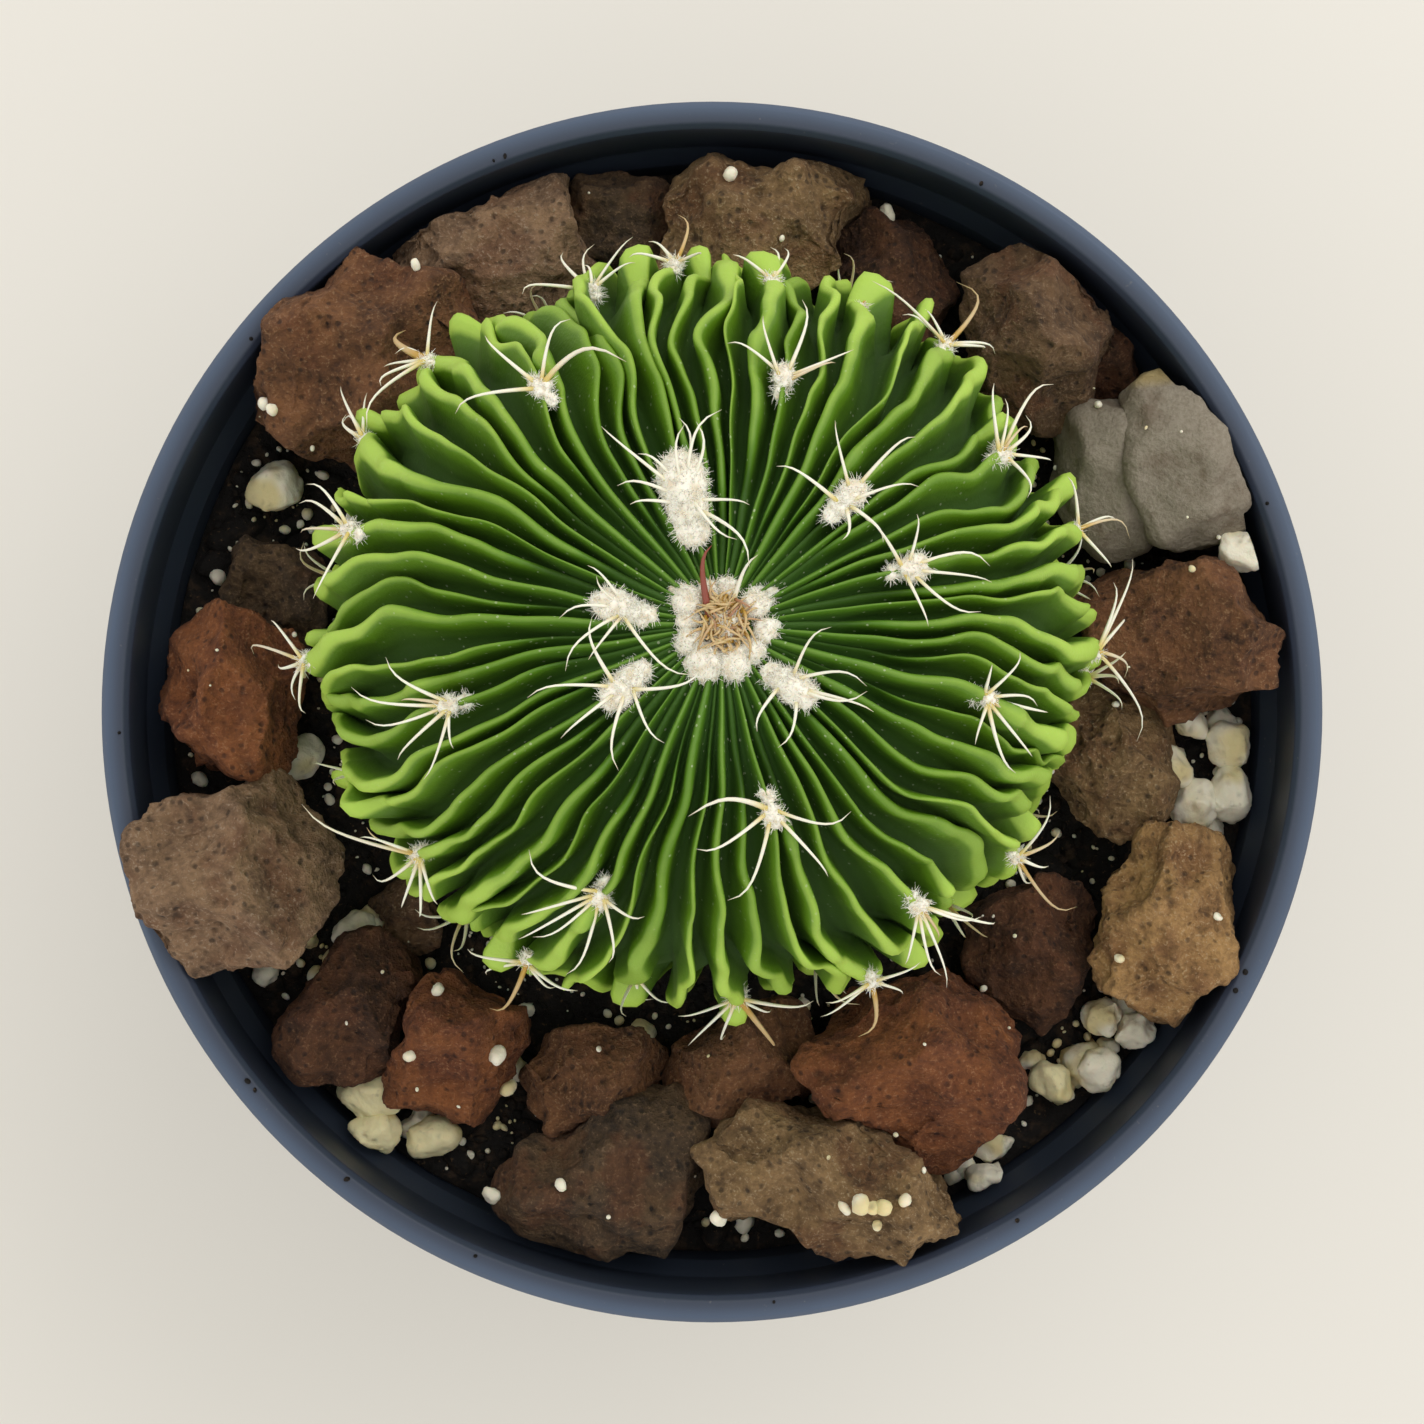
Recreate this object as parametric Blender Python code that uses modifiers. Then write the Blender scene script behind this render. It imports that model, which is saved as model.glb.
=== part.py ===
"""Potted round cactus: a many-ribbed globe cactus growing in a round plant
pot, top-dressed with loose lava stones and grains of perlite.

All driving dimensions are in millimetres and degrees.  The pot stands on
z = 0 with its axis on the z axis, and every mesh is made in metres.
"""

import math
import random

import bmesh
import bpy
from mathutils import Matrix, Vector

MM = 0.001
GAP = 0.3                       # air left between pieces that touch

# Pot (round, moulded, with a collar under the lip)
POT_HEIGHT = 90.0
POT_LIP_RADIUS = 52.5
POT_SIDES = 64
FOOT_RADIUS = 37.2
BASE_UNDER = 1.6
BASE_TOP = 2.7
MIDDLE_HOLE_RADIUS = 6.0
DRAIN_HOLE_RADIUS = 3.5
DRAIN_HOLE_RING = 22.0
DRAIN_HOLE_COUNT = 6

# Growing mix
SOIL_TOP = 78.0
SOIL_TOP_RADIUS = 48.2
SOIL_BOTTOM = 3.0
SOIL_BOTTOM_RADIUS = 35.4
SEAT_HALF_X = 22.2              # hollow that the base of the stem stands in
SEAT_HALF_Y = 21.4
SEAT_DEPTH = 6.0

# Stem: a squat globe whose outline is the line of the rib crests
STEM_CENTRE = (-0.8, 6.5)
STEM_HALF_X = 32.6
STEM_HALF_Y = 31.4
STEM_WIDEST_Z = 98.0
STEM_RISE = 24.0                # widest level up to the shoulders of the crown
STEM_DROP = 24.5                # widest level down to the tucked-in base
STEM_FULLNESS = 2.3             # 2 is an ellipsoid, more is squarer
CROWN_OFFSET = (1.5, 0.4)       # growing point, measured from the centre
CROWN_DIP = 3.0
CROWN_DIP_RADIUS = 7.0
RIB_COUNT = 64
RIB_DEPTH = 4.6
STEM_ROWS = 11
FIRST_ROW = 5.0                 # angles down from the growing point
LAST_ROW = 168.0
ROW_CROWDING = 1.25             # rows crowd towards the growing point

# Crown wool
WOOL_RADIUS = 4.6
WOOL_HALF_HEIGHT = 2.2

# Spine clusters: bearing round the stem, angle down from the growing point,
# then each spine as (plan bearing, plan length)
CLUSTERS = [
    (99, 17, [(145, 9), (155, 5.5), (90, 7), (60, 5.5), (-20, 6.5), (-60, 6)]),
    (159, 11, [(165, 5), (125, 4), (-155, 6.5), (-130, 5), (-60, 7.5)]),
    (226, 13, [(125, 5.5), (175, 7), (-5, 5.5), (-140, 5.5), (-115, 7), (-75, 5.5)]),
    (329, 11, [(75, 5.5), (15, 5.5), (-10, 6), (-130, 4), (-95, 4)]),
    (45, 24, [(140, 5.5), (105, 5.5), (50, 6.5), (25, 6.5), (-30, 4.5), (-75, 3)]),
    (13, 27, [(120, 4.5), (70, 4.5), (25, 6.5), (-5, 7), (-45, 5.5), (-65, 4.5)]),
    (73, 39, [(135, 5), (110, 6), (65, 7), (20, 6)]),
    (128, 43, [(85, 6.5), (30, 8.5), (140, 6.5), (-175, 7.5)]),
    (193, 39, [(160, 6), (180, 7.5), (-155, 7), (-130, 7), (-100, 6.5)]),
    (289, 26, [(170, 6.5), (-25, 6), (-50, 7), (-100, 8), (-140, 6.5)]),
    (250, 45, [(175, 6.5), (-160, 7), (-135, 6), (-100, 7), (-70, 6.5), (-40, 3.5)]),
    (343, 43, [(40, 4.5), (5, 4), (-25, 5.5), (-60, 6.5), (-90, 6)]),
    (310, 58, [(-15, 8), (-40, 5.5), (-65, 7.5), (-85, 6.5), (-110, 5)]),
    (32, 61, [(100, 5.5), (70, 8), (35, 4.5), (-5, 5), (-40, 4.5)]),
    (160, 64, [(120, 5.5), (150, 5), (-150, 4.5), (-115, 5)]),
    (216, 67, [(170, 10), (160, 5.5), (-135, 5.5), (-110, 5.5), (-85, 6)]),
    (275, 88, [(-135, 6), (-110, 6), (-55, 7.5), (-10, 6.5)]),
    (295, 83, [(-70, 5), (10, 4), (-20, 3.5), (-140, 4.5)]),
    (242, 83, [(175, 5), (-170, 5), (-110, 6.5), (-40, 3.5)]),
    (133, 84, [(155, 5.5), (90, 4.5), (180, 4), (-140, 7)]),
    (104, 76, [(175, 6.5), (135, 5), (110, 4), (60, 5)]),
    (92, 78, [(65, 5), (120, 2.5), (160, 3.5)]),
    (80, 72, [(135, 3), (100, 2.5), (60, 3.5)]),
    (52, 83, [(45, 9), (150, 6), (120, 3.5), (10, 5)]),
    (19, 86, [(25, 6), (90, 4.5), (-45, 4)]),
    (0, 86, [(60, 8.5), (45, 5), (-10, 4), (-40, 9)]),
    (327, 82, [(55, 4.5), (15, 3.5), (-55, 8), (-75, 3)]),
    (181, 82, [(160, 7.5), (130, 5), (-90, 4.5), (-135, 2.5)]),
]
PAD_HALF_LENGTH = 1.7
PAD_HALF_WIDTH = 1.1
PAD_HALF_HEIGHT = 0.9
PAD_STAND_OFF = 0.15            # middle of the pad above the crest
SPINE_WIDTH = 0.5
SPINE_LIFT = 22.0               # how far a spine stands off the skin, degrees
SHORTEST_SPINE = 4.5
LONGEST_SPINE = 9.5

# Loose stones: plan position, half sizes, level of the middle, turn, facets
STONES = [
    ("lava_stone_01", (4.1, 42.4), (9.8, 6.4, 5.6), 84.5, 8, 26),
    ("lava_stone_02", (-8.3, 43.5), (5.6, 4.6, 3.4), 81.0, -10, 22),
    ("lava_stone_03", (-19.6, 38.0), (8.8, 8.0, 6.0), 84.5, 30, 26),
    ("lava_stone_04", (-31.4, 30.6), (9.4, 9.0, 7.4), 86.5, 45, 28),
    ("lava_stone_05", (15.3, 38.4), (6.6, 6.2, 3.4), 81.2, 15, 22),
    ("lava_stone_06", (28.1, 33.2), (7.6, 6.6, 6.4), 85.0, 40, 26),
    ("lava_stone_07", (34.8, 29.8), (4.2, 4.0, 3.2), 81.0, 10, 20),
    ("grey_pebble_01", (34.6, 20.6), (4.6, 7.2, 5.6), 84.0, 8, 24),
    ("grey_pebble_02", (41.2, 22.0), (6.8, 8.4, 6.6), 85.4, 12, 26),
    ("lava_stone_08", (40.6, 6.8), (8.4, 7.0, 6.6), 85.2, 20, 28),
    ("lava_stone_09", (34.4, -4.3), (5.2, 7.2, 4.6), 82.6, 12, 22),
    ("lava_stone_10", (39.2, -18.5), (6.6, 8.2, 7.2), 85.6, -12, 28),
    ("lava_stone_11", (28.7, -21.1), (5.4, 7.6, 4.0), 82.0, -15, 22),
    ("lava_stone_12", (17.6, -30.6), (8.8, 8.2, 7.4), 85.6, 20, 28),
    ("lava_stone_13", (10.2, -40.2), (12.6, 6.2, 7.0), 87.0, -12, 30),
    ("lava_stone_14", (-9.2, -40.8), (8.8, 6.0, 5.8), 84.2, 5, 26),
    ("lava_stone_15", (-10.4, -31.8), (6.6, 4.8, 4.6), 83.0, 5, 22),
    ("lava_stone_16", (3.2, -30.8), (7.4, 5.0, 4.4), 82.8, -3, 24),
    ("lava_stone_17", (-22.9, -29.4), (5.9, 6.2, 5.6), 84.0, 25, 24),
    ("lava_stone_18", (-31.0, -26.4), (6.8, 5.6, 5.2), 83.4, 30, 24),
    ("lava_stone_19", (-41.4, -14.3), (9.2, 8.6, 7.6), 89.0, 35, 30),
    ("lava_stone_20", (-41.6, 0.2), (6.2, 6.6, 6.4), 85.0, 10, 26),
    ("lava_stone_21", (-38.6, 11.2), (5.4, 5.0, 3.4), 81.0, 15, 22),
    ("lava_stone_22", (-26.6, -18.4), (4.0, 3.4, 3.0), 80.6, 20, 20),
]
STONE_FULLNESS = 2.6
PERCHED_LEVEL = 88.0            # a stone whose middle is above this leans on the lip

# Larger grains of perlite, given in the same way
PERLITE_GRAINS = [
    ("perlite_grain_01", (-38.4, 20.0), (2.5, 2.3, 2.2), 80.6, 0, 18),
    ("perlite_grain_02", (46.2, 13.8), (2.2, 2.0, 2.2), 86.6, 20, 16),
    ("perlite_grain_03", (-36.6, -4.2), (1.9, 1.9, 1.8), 80.0, 0, 16),
    ("perlite_grain_04", (40.2, -4.8), (1.9, 2.3, 2.0), 80.2, 10, 16),
    ("perlite_grain_05", (42.6, -8.4), (1.9, 2.3, 2.0), 80.2, -20, 16),
    ("perlite_grain_06", (46.0, -7.2), (1.8, 2.4, 2.0), 80.2, 0, 16),
    ("perlite_grain_07", (38.4, -9.2), (1.7, 1.7, 1.6), 79.9, 0, 16),
    ("perlite_grain_08", (45.8, -2.6), (1.8, 1.8, 1.7), 80.0, 0, 16),
    ("perlite_grain_09", (42.2, -1.0), (1.6, 1.5, 1.5), 79.8, 0, 16),
    ("perlite_grain_10", (34.6, -27.0), (2.0, 1.9, 1.8), 80.1, 0, 16),
    ("perlite_grain_11", (37.4, -28.2), (2.1, 1.8, 1.8), 80.1, 25, 16),
    ("perlite_grain_12", (34.2, -31.6), (2.2, 2.0, 1.9), 80.2, 0, 16),
    ("perlite_grain_13", (30.2, -32.6), (1.8, 1.9, 1.7), 80.0, 0, 16),
    ("perlite_grain_14", (-31.6, -19.4), (2.1, 2.0, 1.9), 80.2, 0, 16),
    ("perlite_grain_15", (-30.2, -33.4), (2.9, 2.6, 2.5), 80.9, 0, 18),
    ("perlite_grain_16", (-30.0, -37.2), (2.7, 1.9, 2.2), 80.4, 15, 16),
    ("perlite_grain_17", (-25.2, -37.4), (2.2, 1.7, 1.8), 80.0, 25, 16),
    ("perlite_grain_18", (-46.2, 5.4), (1.5, 1.6, 1.6), 80.0, 0, 16),
    ("perlite_grain_19", (24.6, -41.4), (1.6, 1.6, 1.5), 79.9, 0, 16),
]


def metres(*values):
    """Turns millimetres into a vector in metres."""
    return Vector([value * MM for value in values])


def clear_scene():
    """Empties the file before anything is made."""
    for stale in list(bpy.data.objects):
        bpy.data.objects.remove(stale, do_unlink=True)


def make_collection(name):
    """Adds a collection to the scene."""
    group = bpy.data.collections.new(name)
    bpy.context.scene.collection.children.link(group)
    return group


def make_material(name, colour, roughness):
    """Makes a plain surface with its own base colour and roughness."""
    material = bpy.data.materials.new(name)
    material.use_nodes = True
    shader = material.node_tree.nodes["Principled BSDF"]
    shader.inputs["Base Color"].default_value = (*colour, 1.0)
    shader.inputs["Roughness"].default_value = roughness
    shader.inputs["Metallic"].default_value = 0.0
    return material


def add_object(bm, name, group, material):
    """Turns a bmesh into a named object in its collection."""
    bmesh.ops.recalc_face_normals(bm, faces=bm.faces[:])
    if bm.calc_volume(signed=True) < 0.0:
        bmesh.ops.reverse_faces(bm, faces=bm.faces[:])
    mesh = bpy.data.meshes.new(name)
    bm.to_mesh(mesh)
    bm.free()
    if material is not None:
        mesh.materials.append(material)
    piece = bpy.data.objects.new(name, mesh)
    group.objects.link(piece)
    return piece


def add_turned(outline, closed, name, group, material):
    """Turns a section of (radius, height) points, outer side first and down."""
    mesh = bpy.data.meshes.new(name)
    count = len(outline)
    edges = [(step, step + 1) for step in range(count - 1)]
    if closed:
        edges.append((count - 1, 0))
    points = [metres(radius, 0.0, height) for radius, height in outline]
    mesh.from_pydata(points, edges, [])
    mesh.materials.append(material)
    piece = bpy.data.objects.new(name, mesh)
    group.objects.link(piece)
    screw = piece.modifiers.new("turn", "SCREW")
    screw.axis = "Z"
    screw.angle = math.tau
    screw.steps = POT_SIDES
    screw.render_steps = POT_SIDES
    screw.use_merge_vertices = True
    screw.merge_threshold = 1e-6
    screw.use_smooth_shade = True
    return piece


def add_cutter(bm, piece, name, group):
    """Takes a shape out of a piece, and keeps the shape as a hidden cutter."""
    cutter = add_object(bm, name + "_cutter", group, None)
    cutter.hide_render = True
    cutter.display_type = "WIRE"
    cut = piece.modifiers.new(name, "BOOLEAN")
    cut.operation = "DIFFERENCE"
    cut.solver = "EXACT"
    cut.object = cutter


# ---------------------------------------------------------------- pot and soil

def pot_outline():
    """Section of the lip, wall, foot and base, as a closed loop."""
    top = POT_HEIGHT
    lip = POT_LIP_RADIUS
    return [
        (lip - 0.5, top), (lip, top - 0.5), (lip, top - 1.4), (51.4, top - 1.8),
        (50.9, top - 9.2), (49.5, top - 9.8), (FOOT_RADIUS, 0.0),
        (FOOT_RADIUS - 3.2, 0.0), (FOOT_RADIUS - 3.6, BASE_UNDER),
        (MIDDLE_HOLE_RADIUS, BASE_UNDER), (MIDDLE_HOLE_RADIUS, BASE_TOP),
        (36.0, BASE_TOP), (48.5, top - 10.4), (lip - 2.7, top - 8.6),
        (lip - 2.4, top - 0.5), (lip - 1.9, top),
    ]


def build_pot(group, cutters, material):
    """Makes the pot and bores its ring of drain holes."""
    pot = add_turned(pot_outline(), True, "pot", group, material)
    bm = bmesh.new()
    for step in range(DRAIN_HOLE_COUNT):
        turn = math.tau * (step + 0.5) / DRAIN_HOLE_COUNT
        place = metres(DRAIN_HOLE_RING * math.cos(turn),
                       DRAIN_HOLE_RING * math.sin(turn), 0.5 * (BASE_UNDER + BASE_TOP))
        bmesh.ops.create_cone(bm, cap_ends=True, segments=16,
                              radius1=DRAIN_HOLE_RADIUS * MM,
                              radius2=DRAIN_HOLE_RADIUS * MM, depth=6.0 * MM,
                              matrix=Matrix.Translation(place))
    add_cutter(bm, pot, "drain_holes", cutters)
    return pot


def build_soil(group, cutters, material):
    """Makes the plug of growing mix with the seat the stem grows from."""
    outline = [(0.0, SOIL_TOP), (SOIL_TOP_RADIUS, SOIL_TOP),
               (SOIL_BOTTOM_RADIUS, SOIL_BOTTOM), (0.0, SOIL_BOTTOM)]
    soil = add_turned(outline, False, "soil", group, material)
    bm = bmesh.new()
    stretch = Matrix.Diagonal((SEAT_HALF_X * MM, SEAT_HALF_Y * MM, SEAT_DEPTH * MM, 1.0))
    middle = SOIL_TOP - SEAT_DEPTH / 2.0 + 0.8
    place = Matrix.Translation(metres(*STEM_CENTRE, middle))
    bmesh.ops.create_cone(bm, cap_ends=True, segments=40, radius1=0.78,
                          radius2=1.09, depth=1.0, matrix=place @ stretch)
    add_cutter(bm, soil, "stem_seat", cutters)
    return soil


# ------------------------------------------------------------------------ stem

def crest_point(bearing, polar):
    """Point on the line of the rib crests, in millimetres.

    bearing runs round the stem and polar runs down from the growing point,
    both in degrees.
    """
    turn = math.radians(bearing)
    fall = math.radians(polar)
    power = 2.0 / STEM_FULLNESS
    out = abs(math.sin(fall)) ** power
    level = math.copysign(abs(math.cos(fall)) ** power, math.cos(fall))
    height = STEM_RISE if level >= 0.0 else STEM_DROP
    x = STEM_CENTRE[0] + CROWN_OFFSET[0] * (1.0 - out) + out * STEM_HALF_X * math.cos(turn)
    y = STEM_CENTRE[1] + CROWN_OFFSET[1] * (1.0 - out) + out * STEM_HALF_Y * math.sin(turn)
    z = STEM_WIDEST_Z + height * level
    if level > 0.0:
        z -= CROWN_DIP * math.exp(-(out * STEM_HALF_X / CROWN_DIP_RADIUS) ** 2)
    return Vector((x, y, z))


def skin_frame(bearing, polar):
    """Point on the crests with its outward, upward and sideways directions."""
    point = crest_point(bearing, polar)
    upward = (crest_point(bearing, polar - 1.5) - crest_point(bearing, polar + 1.5))
    sideways = (crest_point(bearing + 2.0, polar) - crest_point(bearing - 2.0, polar))
    outward = sideways.cross(upward).normalized()
    upward.normalize()
    return point, outward, upward, outward.cross(upward).normalized()


def rib_sway(bearing, polar):
    """How far the ribs swing sideways, in degrees, the same for neighbours."""
    turn = math.radians(bearing)
    reach = math.sin(math.radians(min(polar, 90.0)))
    swing = 3.0 * math.sin(3.0 * turn + 0.05 * polar + 0.6)
    swing += 1.6 * math.sin(7.0 * turn - 0.09 * polar)
    return swing * reach


def nearest_crest(bearing, polar):
    """Bearing of the rib crest nearest to a wanted bearing."""
    crests = []
    for rib in range(RIB_COUNT):
        start = 360.0 * rib / RIB_COUNT
        crest = start + rib_sway(start, polar)
        miss = abs((crest - bearing + 180.0) % 360.0 - 180.0)
        crests.append((miss, crest))
    return min(crests)[1]


def loft_ribs(bm):
    """Lofts the ribbed body of the plant from the crown down to its base."""
    columns = RIB_COUNT * 2
    rows = []
    for row in range(STEM_ROWS):
        share = (row / (STEM_ROWS - 1)) ** ROW_CROWDING
        polar = FIRST_ROW + (LAST_ROW - FIRST_ROW) * share
        depth = RIB_DEPTH * min(1.0, math.sin(math.radians(polar)) / 0.55)
        line = []
        for column in range(columns):
            bearing = 360.0 * column / columns
            bearing += rib_sway(bearing, polar)
            point, outward, _, _ = skin_frame(bearing, polar)
            if column % 2:
                point -= outward * depth
            line.append(bm.verts.new(point * MM))
        rows.append(line)
    for upper, lower in zip(rows, rows[1:]):
        for column in range(columns):
            after = (column + 1) % columns
            bm.faces.new((upper[column], upper[after], lower[after], lower[column]))
    crown = bm.verts.new(crest_point(0.0, 0.0) * MM)
    base = bm.verts.new(crest_point(0.0, 180.0) * MM)
    for column in range(columns):
        after = (column + 1) % columns
        bm.faces.new((crown, rows[0][after], rows[0][column]))
        bm.faces.new((base, rows[-1][column], rows[-1][after]))
    bmesh.ops.triangulate(bm, faces=bm.faces[:])


def add_wool(bm):
    """Adds the cushion of wool that covers the growing point."""
    crown = crest_point(0.0, 0.0)
    place = Matrix.Translation(metres(crown.x, crown.y, crown.z + 1.0))
    size = Matrix.Diagonal((WOOL_RADIUS * MM, WOOL_RADIUS * MM, WOOL_HALF_HEIGHT * MM, 1.0))
    bmesh.ops.create_uvsphere(bm, u_segments=16, v_segments=8, radius=1.0,
                              matrix=place @ size)


# --------------------------------------------------------------------- spines

def spine_direction(outward, upward, sideways, plan_bearing):
    """Direction that stands off the skin and lies on a given plan bearing."""
    aim = math.radians(plan_bearing)
    lift = math.radians(SPINE_LIFT)
    best = None
    for roll in range(0, 360, 2):
        turn = math.radians(roll)
        along = upward * math.cos(turn) + sideways * math.sin(turn)
        ray = along * math.cos(lift) + outward * math.sin(lift)
        miss = math.cos(aim) * ray.x + math.sin(aim) * ray.y
        plan = math.hypot(ray.x, ray.y)
        score = miss / max(plan, 1e-6) + 0.15 * plan
        if best is None or score > best[0]:
            best = (score, ray, plan)
    return best[1], best[2]


def grow_spine(bm, face, ray, outward, length):
    """Draws one facet of the pad out into a tapering, bowed spine."""
    root = face.calc_center_median()
    for stage, (reach, width) in enumerate(((0.08, 1.0), (0.5, 0.75), (1.0, 0.1))):
        if stage:
            face = bmesh.ops.extrude_discrete_faces(bm, faces=[face])["faces"][0]
        bow = outward * length * 0.10 * math.sin(math.pi * reach)
        middle = root + (ray * length * reach + bow) * MM
        centre = face.calc_center_median()
        for vert in face.verts:
            arm = vert.co - centre
            arm -= ray * arm.dot(ray)
            arm = arm.normalized() * SPINE_WIDTH * 0.5 * width * MM
            vert.co = middle + arm


def add_cluster(bm, bearing, polar, spines):
    """Adds one woolly pad, seated on a rib crest, with its spines."""
    crest = nearest_crest(bearing, polar)
    point, outward, upward, sideways = skin_frame(crest, polar)
    turn = Matrix((upward, sideways, outward)).transposed().to_4x4()
    size = Matrix.Diagonal((PAD_HALF_LENGTH * MM, PAD_HALF_WIDTH * MM,
                            PAD_HALF_HEIGHT * MM, 1.0))
    seat = (point + outward * PAD_STAND_OFF) * MM
    pad = bmesh.ops.create_icosphere(bm, subdivisions=1, radius=1.0,
                                     matrix=Matrix.Translation(seat) @ turn @ size)
    bm.normal_update()
    facets = list({facet for vert in pad["verts"] for facet in vert.link_faces})
    facets.sort(key=lambda facet: tuple(facet.calc_center_median()))
    for plan_bearing, plan_length in spines:
        ray, plan = spine_direction(outward, upward, sideways, plan_bearing)
        length = min(LONGEST_SPINE, max(SHORTEST_SPINE, plan_length / max(plan, 0.5)))
        facets.sort(key=lambda facet: -(facet.normal + outward * 0.25).dot(ray))
        facet = facets.pop(0)
        tip = bmesh.ops.extrude_discrete_faces(bm, faces=[facet])["faces"][0]
        grow_spine(bm, tip, ray, outward, length)


def build_cactus(group, cutters, material):
    """Makes the plant: its ribbed body with the wool and spines grown on it."""
    bm = bmesh.new()
    loft_ribs(bm)
    cactus = add_object(bm, "cactus", group, material)
    bm = bmesh.new()
    add_wool(bm)
    for bearing, polar, spines in CLUSTERS:
        add_cluster(bm, bearing, polar, spines)
    bmesh.ops.triangulate(bm, faces=bm.faces[:])
    growth = add_object(bm, "wool_and_spines_guide", cutters, None)
    growth.hide_render = True
    growth.display_type = "WIRE"
    join = cactus.modifiers.new("wool_and_spines", "BOOLEAN")
    join.operation = "UNION"
    join.solver = "EXACT"
    join.use_self = True
    join.object = growth
    return cactus


# --------------------------------------------------------------------- stones

def stone_points(half, fullness, count, rng):
    """Evenly spread points on a rounded block, each pushed a little."""
    points = []
    golden = math.pi * (3.0 - math.sqrt(5.0))
    for step in range(count):
        z = 1.0 - 2.0 * (step + 0.5) / count
        ring = math.sqrt(1.0 - z * z)
        turn = golden * step + rng.uniform(-0.25, 0.25)
        ray = Vector((ring * math.cos(turn), ring * math.sin(turn), z))
        reach = sum(abs(axis) ** fullness for axis in ray) ** (-1.0 / fullness)
        ray *= reach * rng.uniform(0.90, 1.04)
        points.append(Vector((ray.x * half[0], ray.y * half[1], ray.z * half[2])))
    return points


def stem_plane(centre):
    """Plane that just clears the stem on the side facing a stone."""
    nearest = None
    for bearing in range(0, 360, 6):
        for polar in range(60, 172, 4):
            point = crest_point(bearing, polar)
            distance = (point - centre).length
            if nearest is None or distance < nearest[0]:
                nearest = (distance, bearing, polar)
    point, outward, _, _ = skin_frame(nearest[1], nearest[2])
    return point + outward * (GAP + 0.5), -outward


def wall_planes(centre):
    """Planes that keep a stone inside the pot wall."""
    bearing = math.atan2(centre.y, centre.x)
    planes = []
    for step in range(-4, 5):
        turn = bearing + math.radians(9.0 * step)
        ray = Vector((math.cos(turn), math.sin(turn), 0.0))
        for radius, level, lean in ((48.0, 79.6, 0.13), (49.1, 82.0, 0.0)):
            normal = Vector((ray.x, ray.y, -lean)).normalized()
            planes.append((ray * radius + Vector((0, 0, level)), normal))
    return planes


def lip_planes(centre):
    """Planes for a stone that leans on the lip and stays within its edge."""
    bearing = math.atan2(centre.y, centre.x)
    planes = []
    for step in range(-4, 5):
        turn = bearing + math.radians(9.0 * step)
        ray = Vector((math.cos(turn), math.sin(turn), 0.0))
        slope = Vector((ray.x, ray.y, -1.0)).normalized()
        planes.append((ray * 50.0 + Vector((0, 0, POT_HEIGHT + 0.6)), slope))
        planes.append((ray * 52.0, ray))
    return planes


def reach_towards(half, turn, line):
    """How far a block of given half sizes and turn reaches along a line."""
    local = Matrix.Rotation(math.radians(-turn), 3, "Z") @ line.normalized()
    return sum((local[axis] / half[axis]) ** 2 for axis in range(3)) ** -0.5


def neighbour_plane(stone, other):
    """Plane between two stones that shares the space by how far each reaches."""
    _, place, half, level, turn, _ = stone
    _, other_place, other_half, other_level, other_turn, _ = other
    middle = Vector((*place, level))
    line = Vector((*other_place, other_level)) - middle
    near = reach_towards(half, turn, line)
    far = reach_towards(other_half, other_turn, line)
    normal = line.normalized()
    return middle + line * near / (near + far) - normal * (0.5 * GAP), normal


def trim(points, planes):
    """Cuts a convex set of points by planes and keeps the near side."""
    bm = bmesh.new()
    for point in points:
        bm.verts.new(point)
    shell = bmesh.ops.convex_hull(bm, input=bm.verts[:])
    bmesh.ops.delete(bm, geom=shell["geom_interior"], context="VERTS")
    for place, normal in planes:
        bmesh.ops.bisect_plane(bm, geom=bm.verts[:] + bm.edges[:] + bm.faces[:],
                               plane_co=place, plane_no=normal, clear_outer=True)
        kept = [vert.co.copy() for vert in bm.verts]
        bm.clear()
        for point in kept:
            bm.verts.new(point)
        bmesh.ops.remove_doubles(bm, verts=bm.verts[:], dist=0.15)
        shell = bmesh.ops.convex_hull(bm, input=bm.verts[:])
        bmesh.ops.delete(bm, geom=shell["geom_interior"], context="VERTS")
    return bm


def build_stones(group, finishes):
    """Makes every loose stone and grain, each trimmed to miss its neighbours."""
    loose = STONES + PERLITE_GRAINS
    for index, stone in enumerate(loose):
        name, place, half, level, turn, facets = stone
        centre = Vector((*place, level))
        rng = random.Random(100 + index)
        spin = Matrix.Rotation(math.radians(turn), 3, "Z")
        points = [centre + spin @ point
                  for point in stone_points(half, STONE_FULLNESS, facets, rng)]
        planes = [(Vector((0, 0, SOIL_TOP + GAP)), Vector((0, 0, -1))), stem_plane(centre)]
        planes += lip_planes(centre) if level > PERCHED_LEVEL else wall_planes(centre)
        for other in loose:
            if other is stone:
                continue
            apart = (Vector((*other[1], other[3])) - centre).length
            if apart < max(half) + max(other[2]) + 1.0:
                planes.append(neighbour_plane(stone, other))
        bm = trim(points, planes)
        bmesh.ops.scale(bm, vec=(MM, MM, MM), verts=bm.verts[:])
        add_object(bm, name, group, finishes[name.rsplit("_", 1)[0]])


def main():
    """Builds the whole plant in its pot."""
    clear_scene()
    group = make_collection("potted_round_cactus")
    cutters = make_collection("cutters")
    plastic = make_material("pot_plastic", (0.065, 0.085, 0.125), 0.5)
    mix = make_material("growing_mix", (0.012, 0.010, 0.008), 0.95)
    skin = make_material("cactus_skin", (0.08, 0.22, 0.02), 0.45)
    finishes = {
        "lava_stone": make_material("lava_rock", (0.16, 0.06, 0.03), 0.95),
        "grey_pebble": make_material("grey_stone", (0.20, 0.16, 0.12), 0.8),
        "perlite_grain": make_material("perlite", (0.80, 0.77, 0.70), 0.9),
    }
    build_pot(group, cutters, plastic)
    build_soil(group, cutters, mix)
    build_cactus(group, cutters, skin)
    build_stones(group, finishes)


main()
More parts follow.
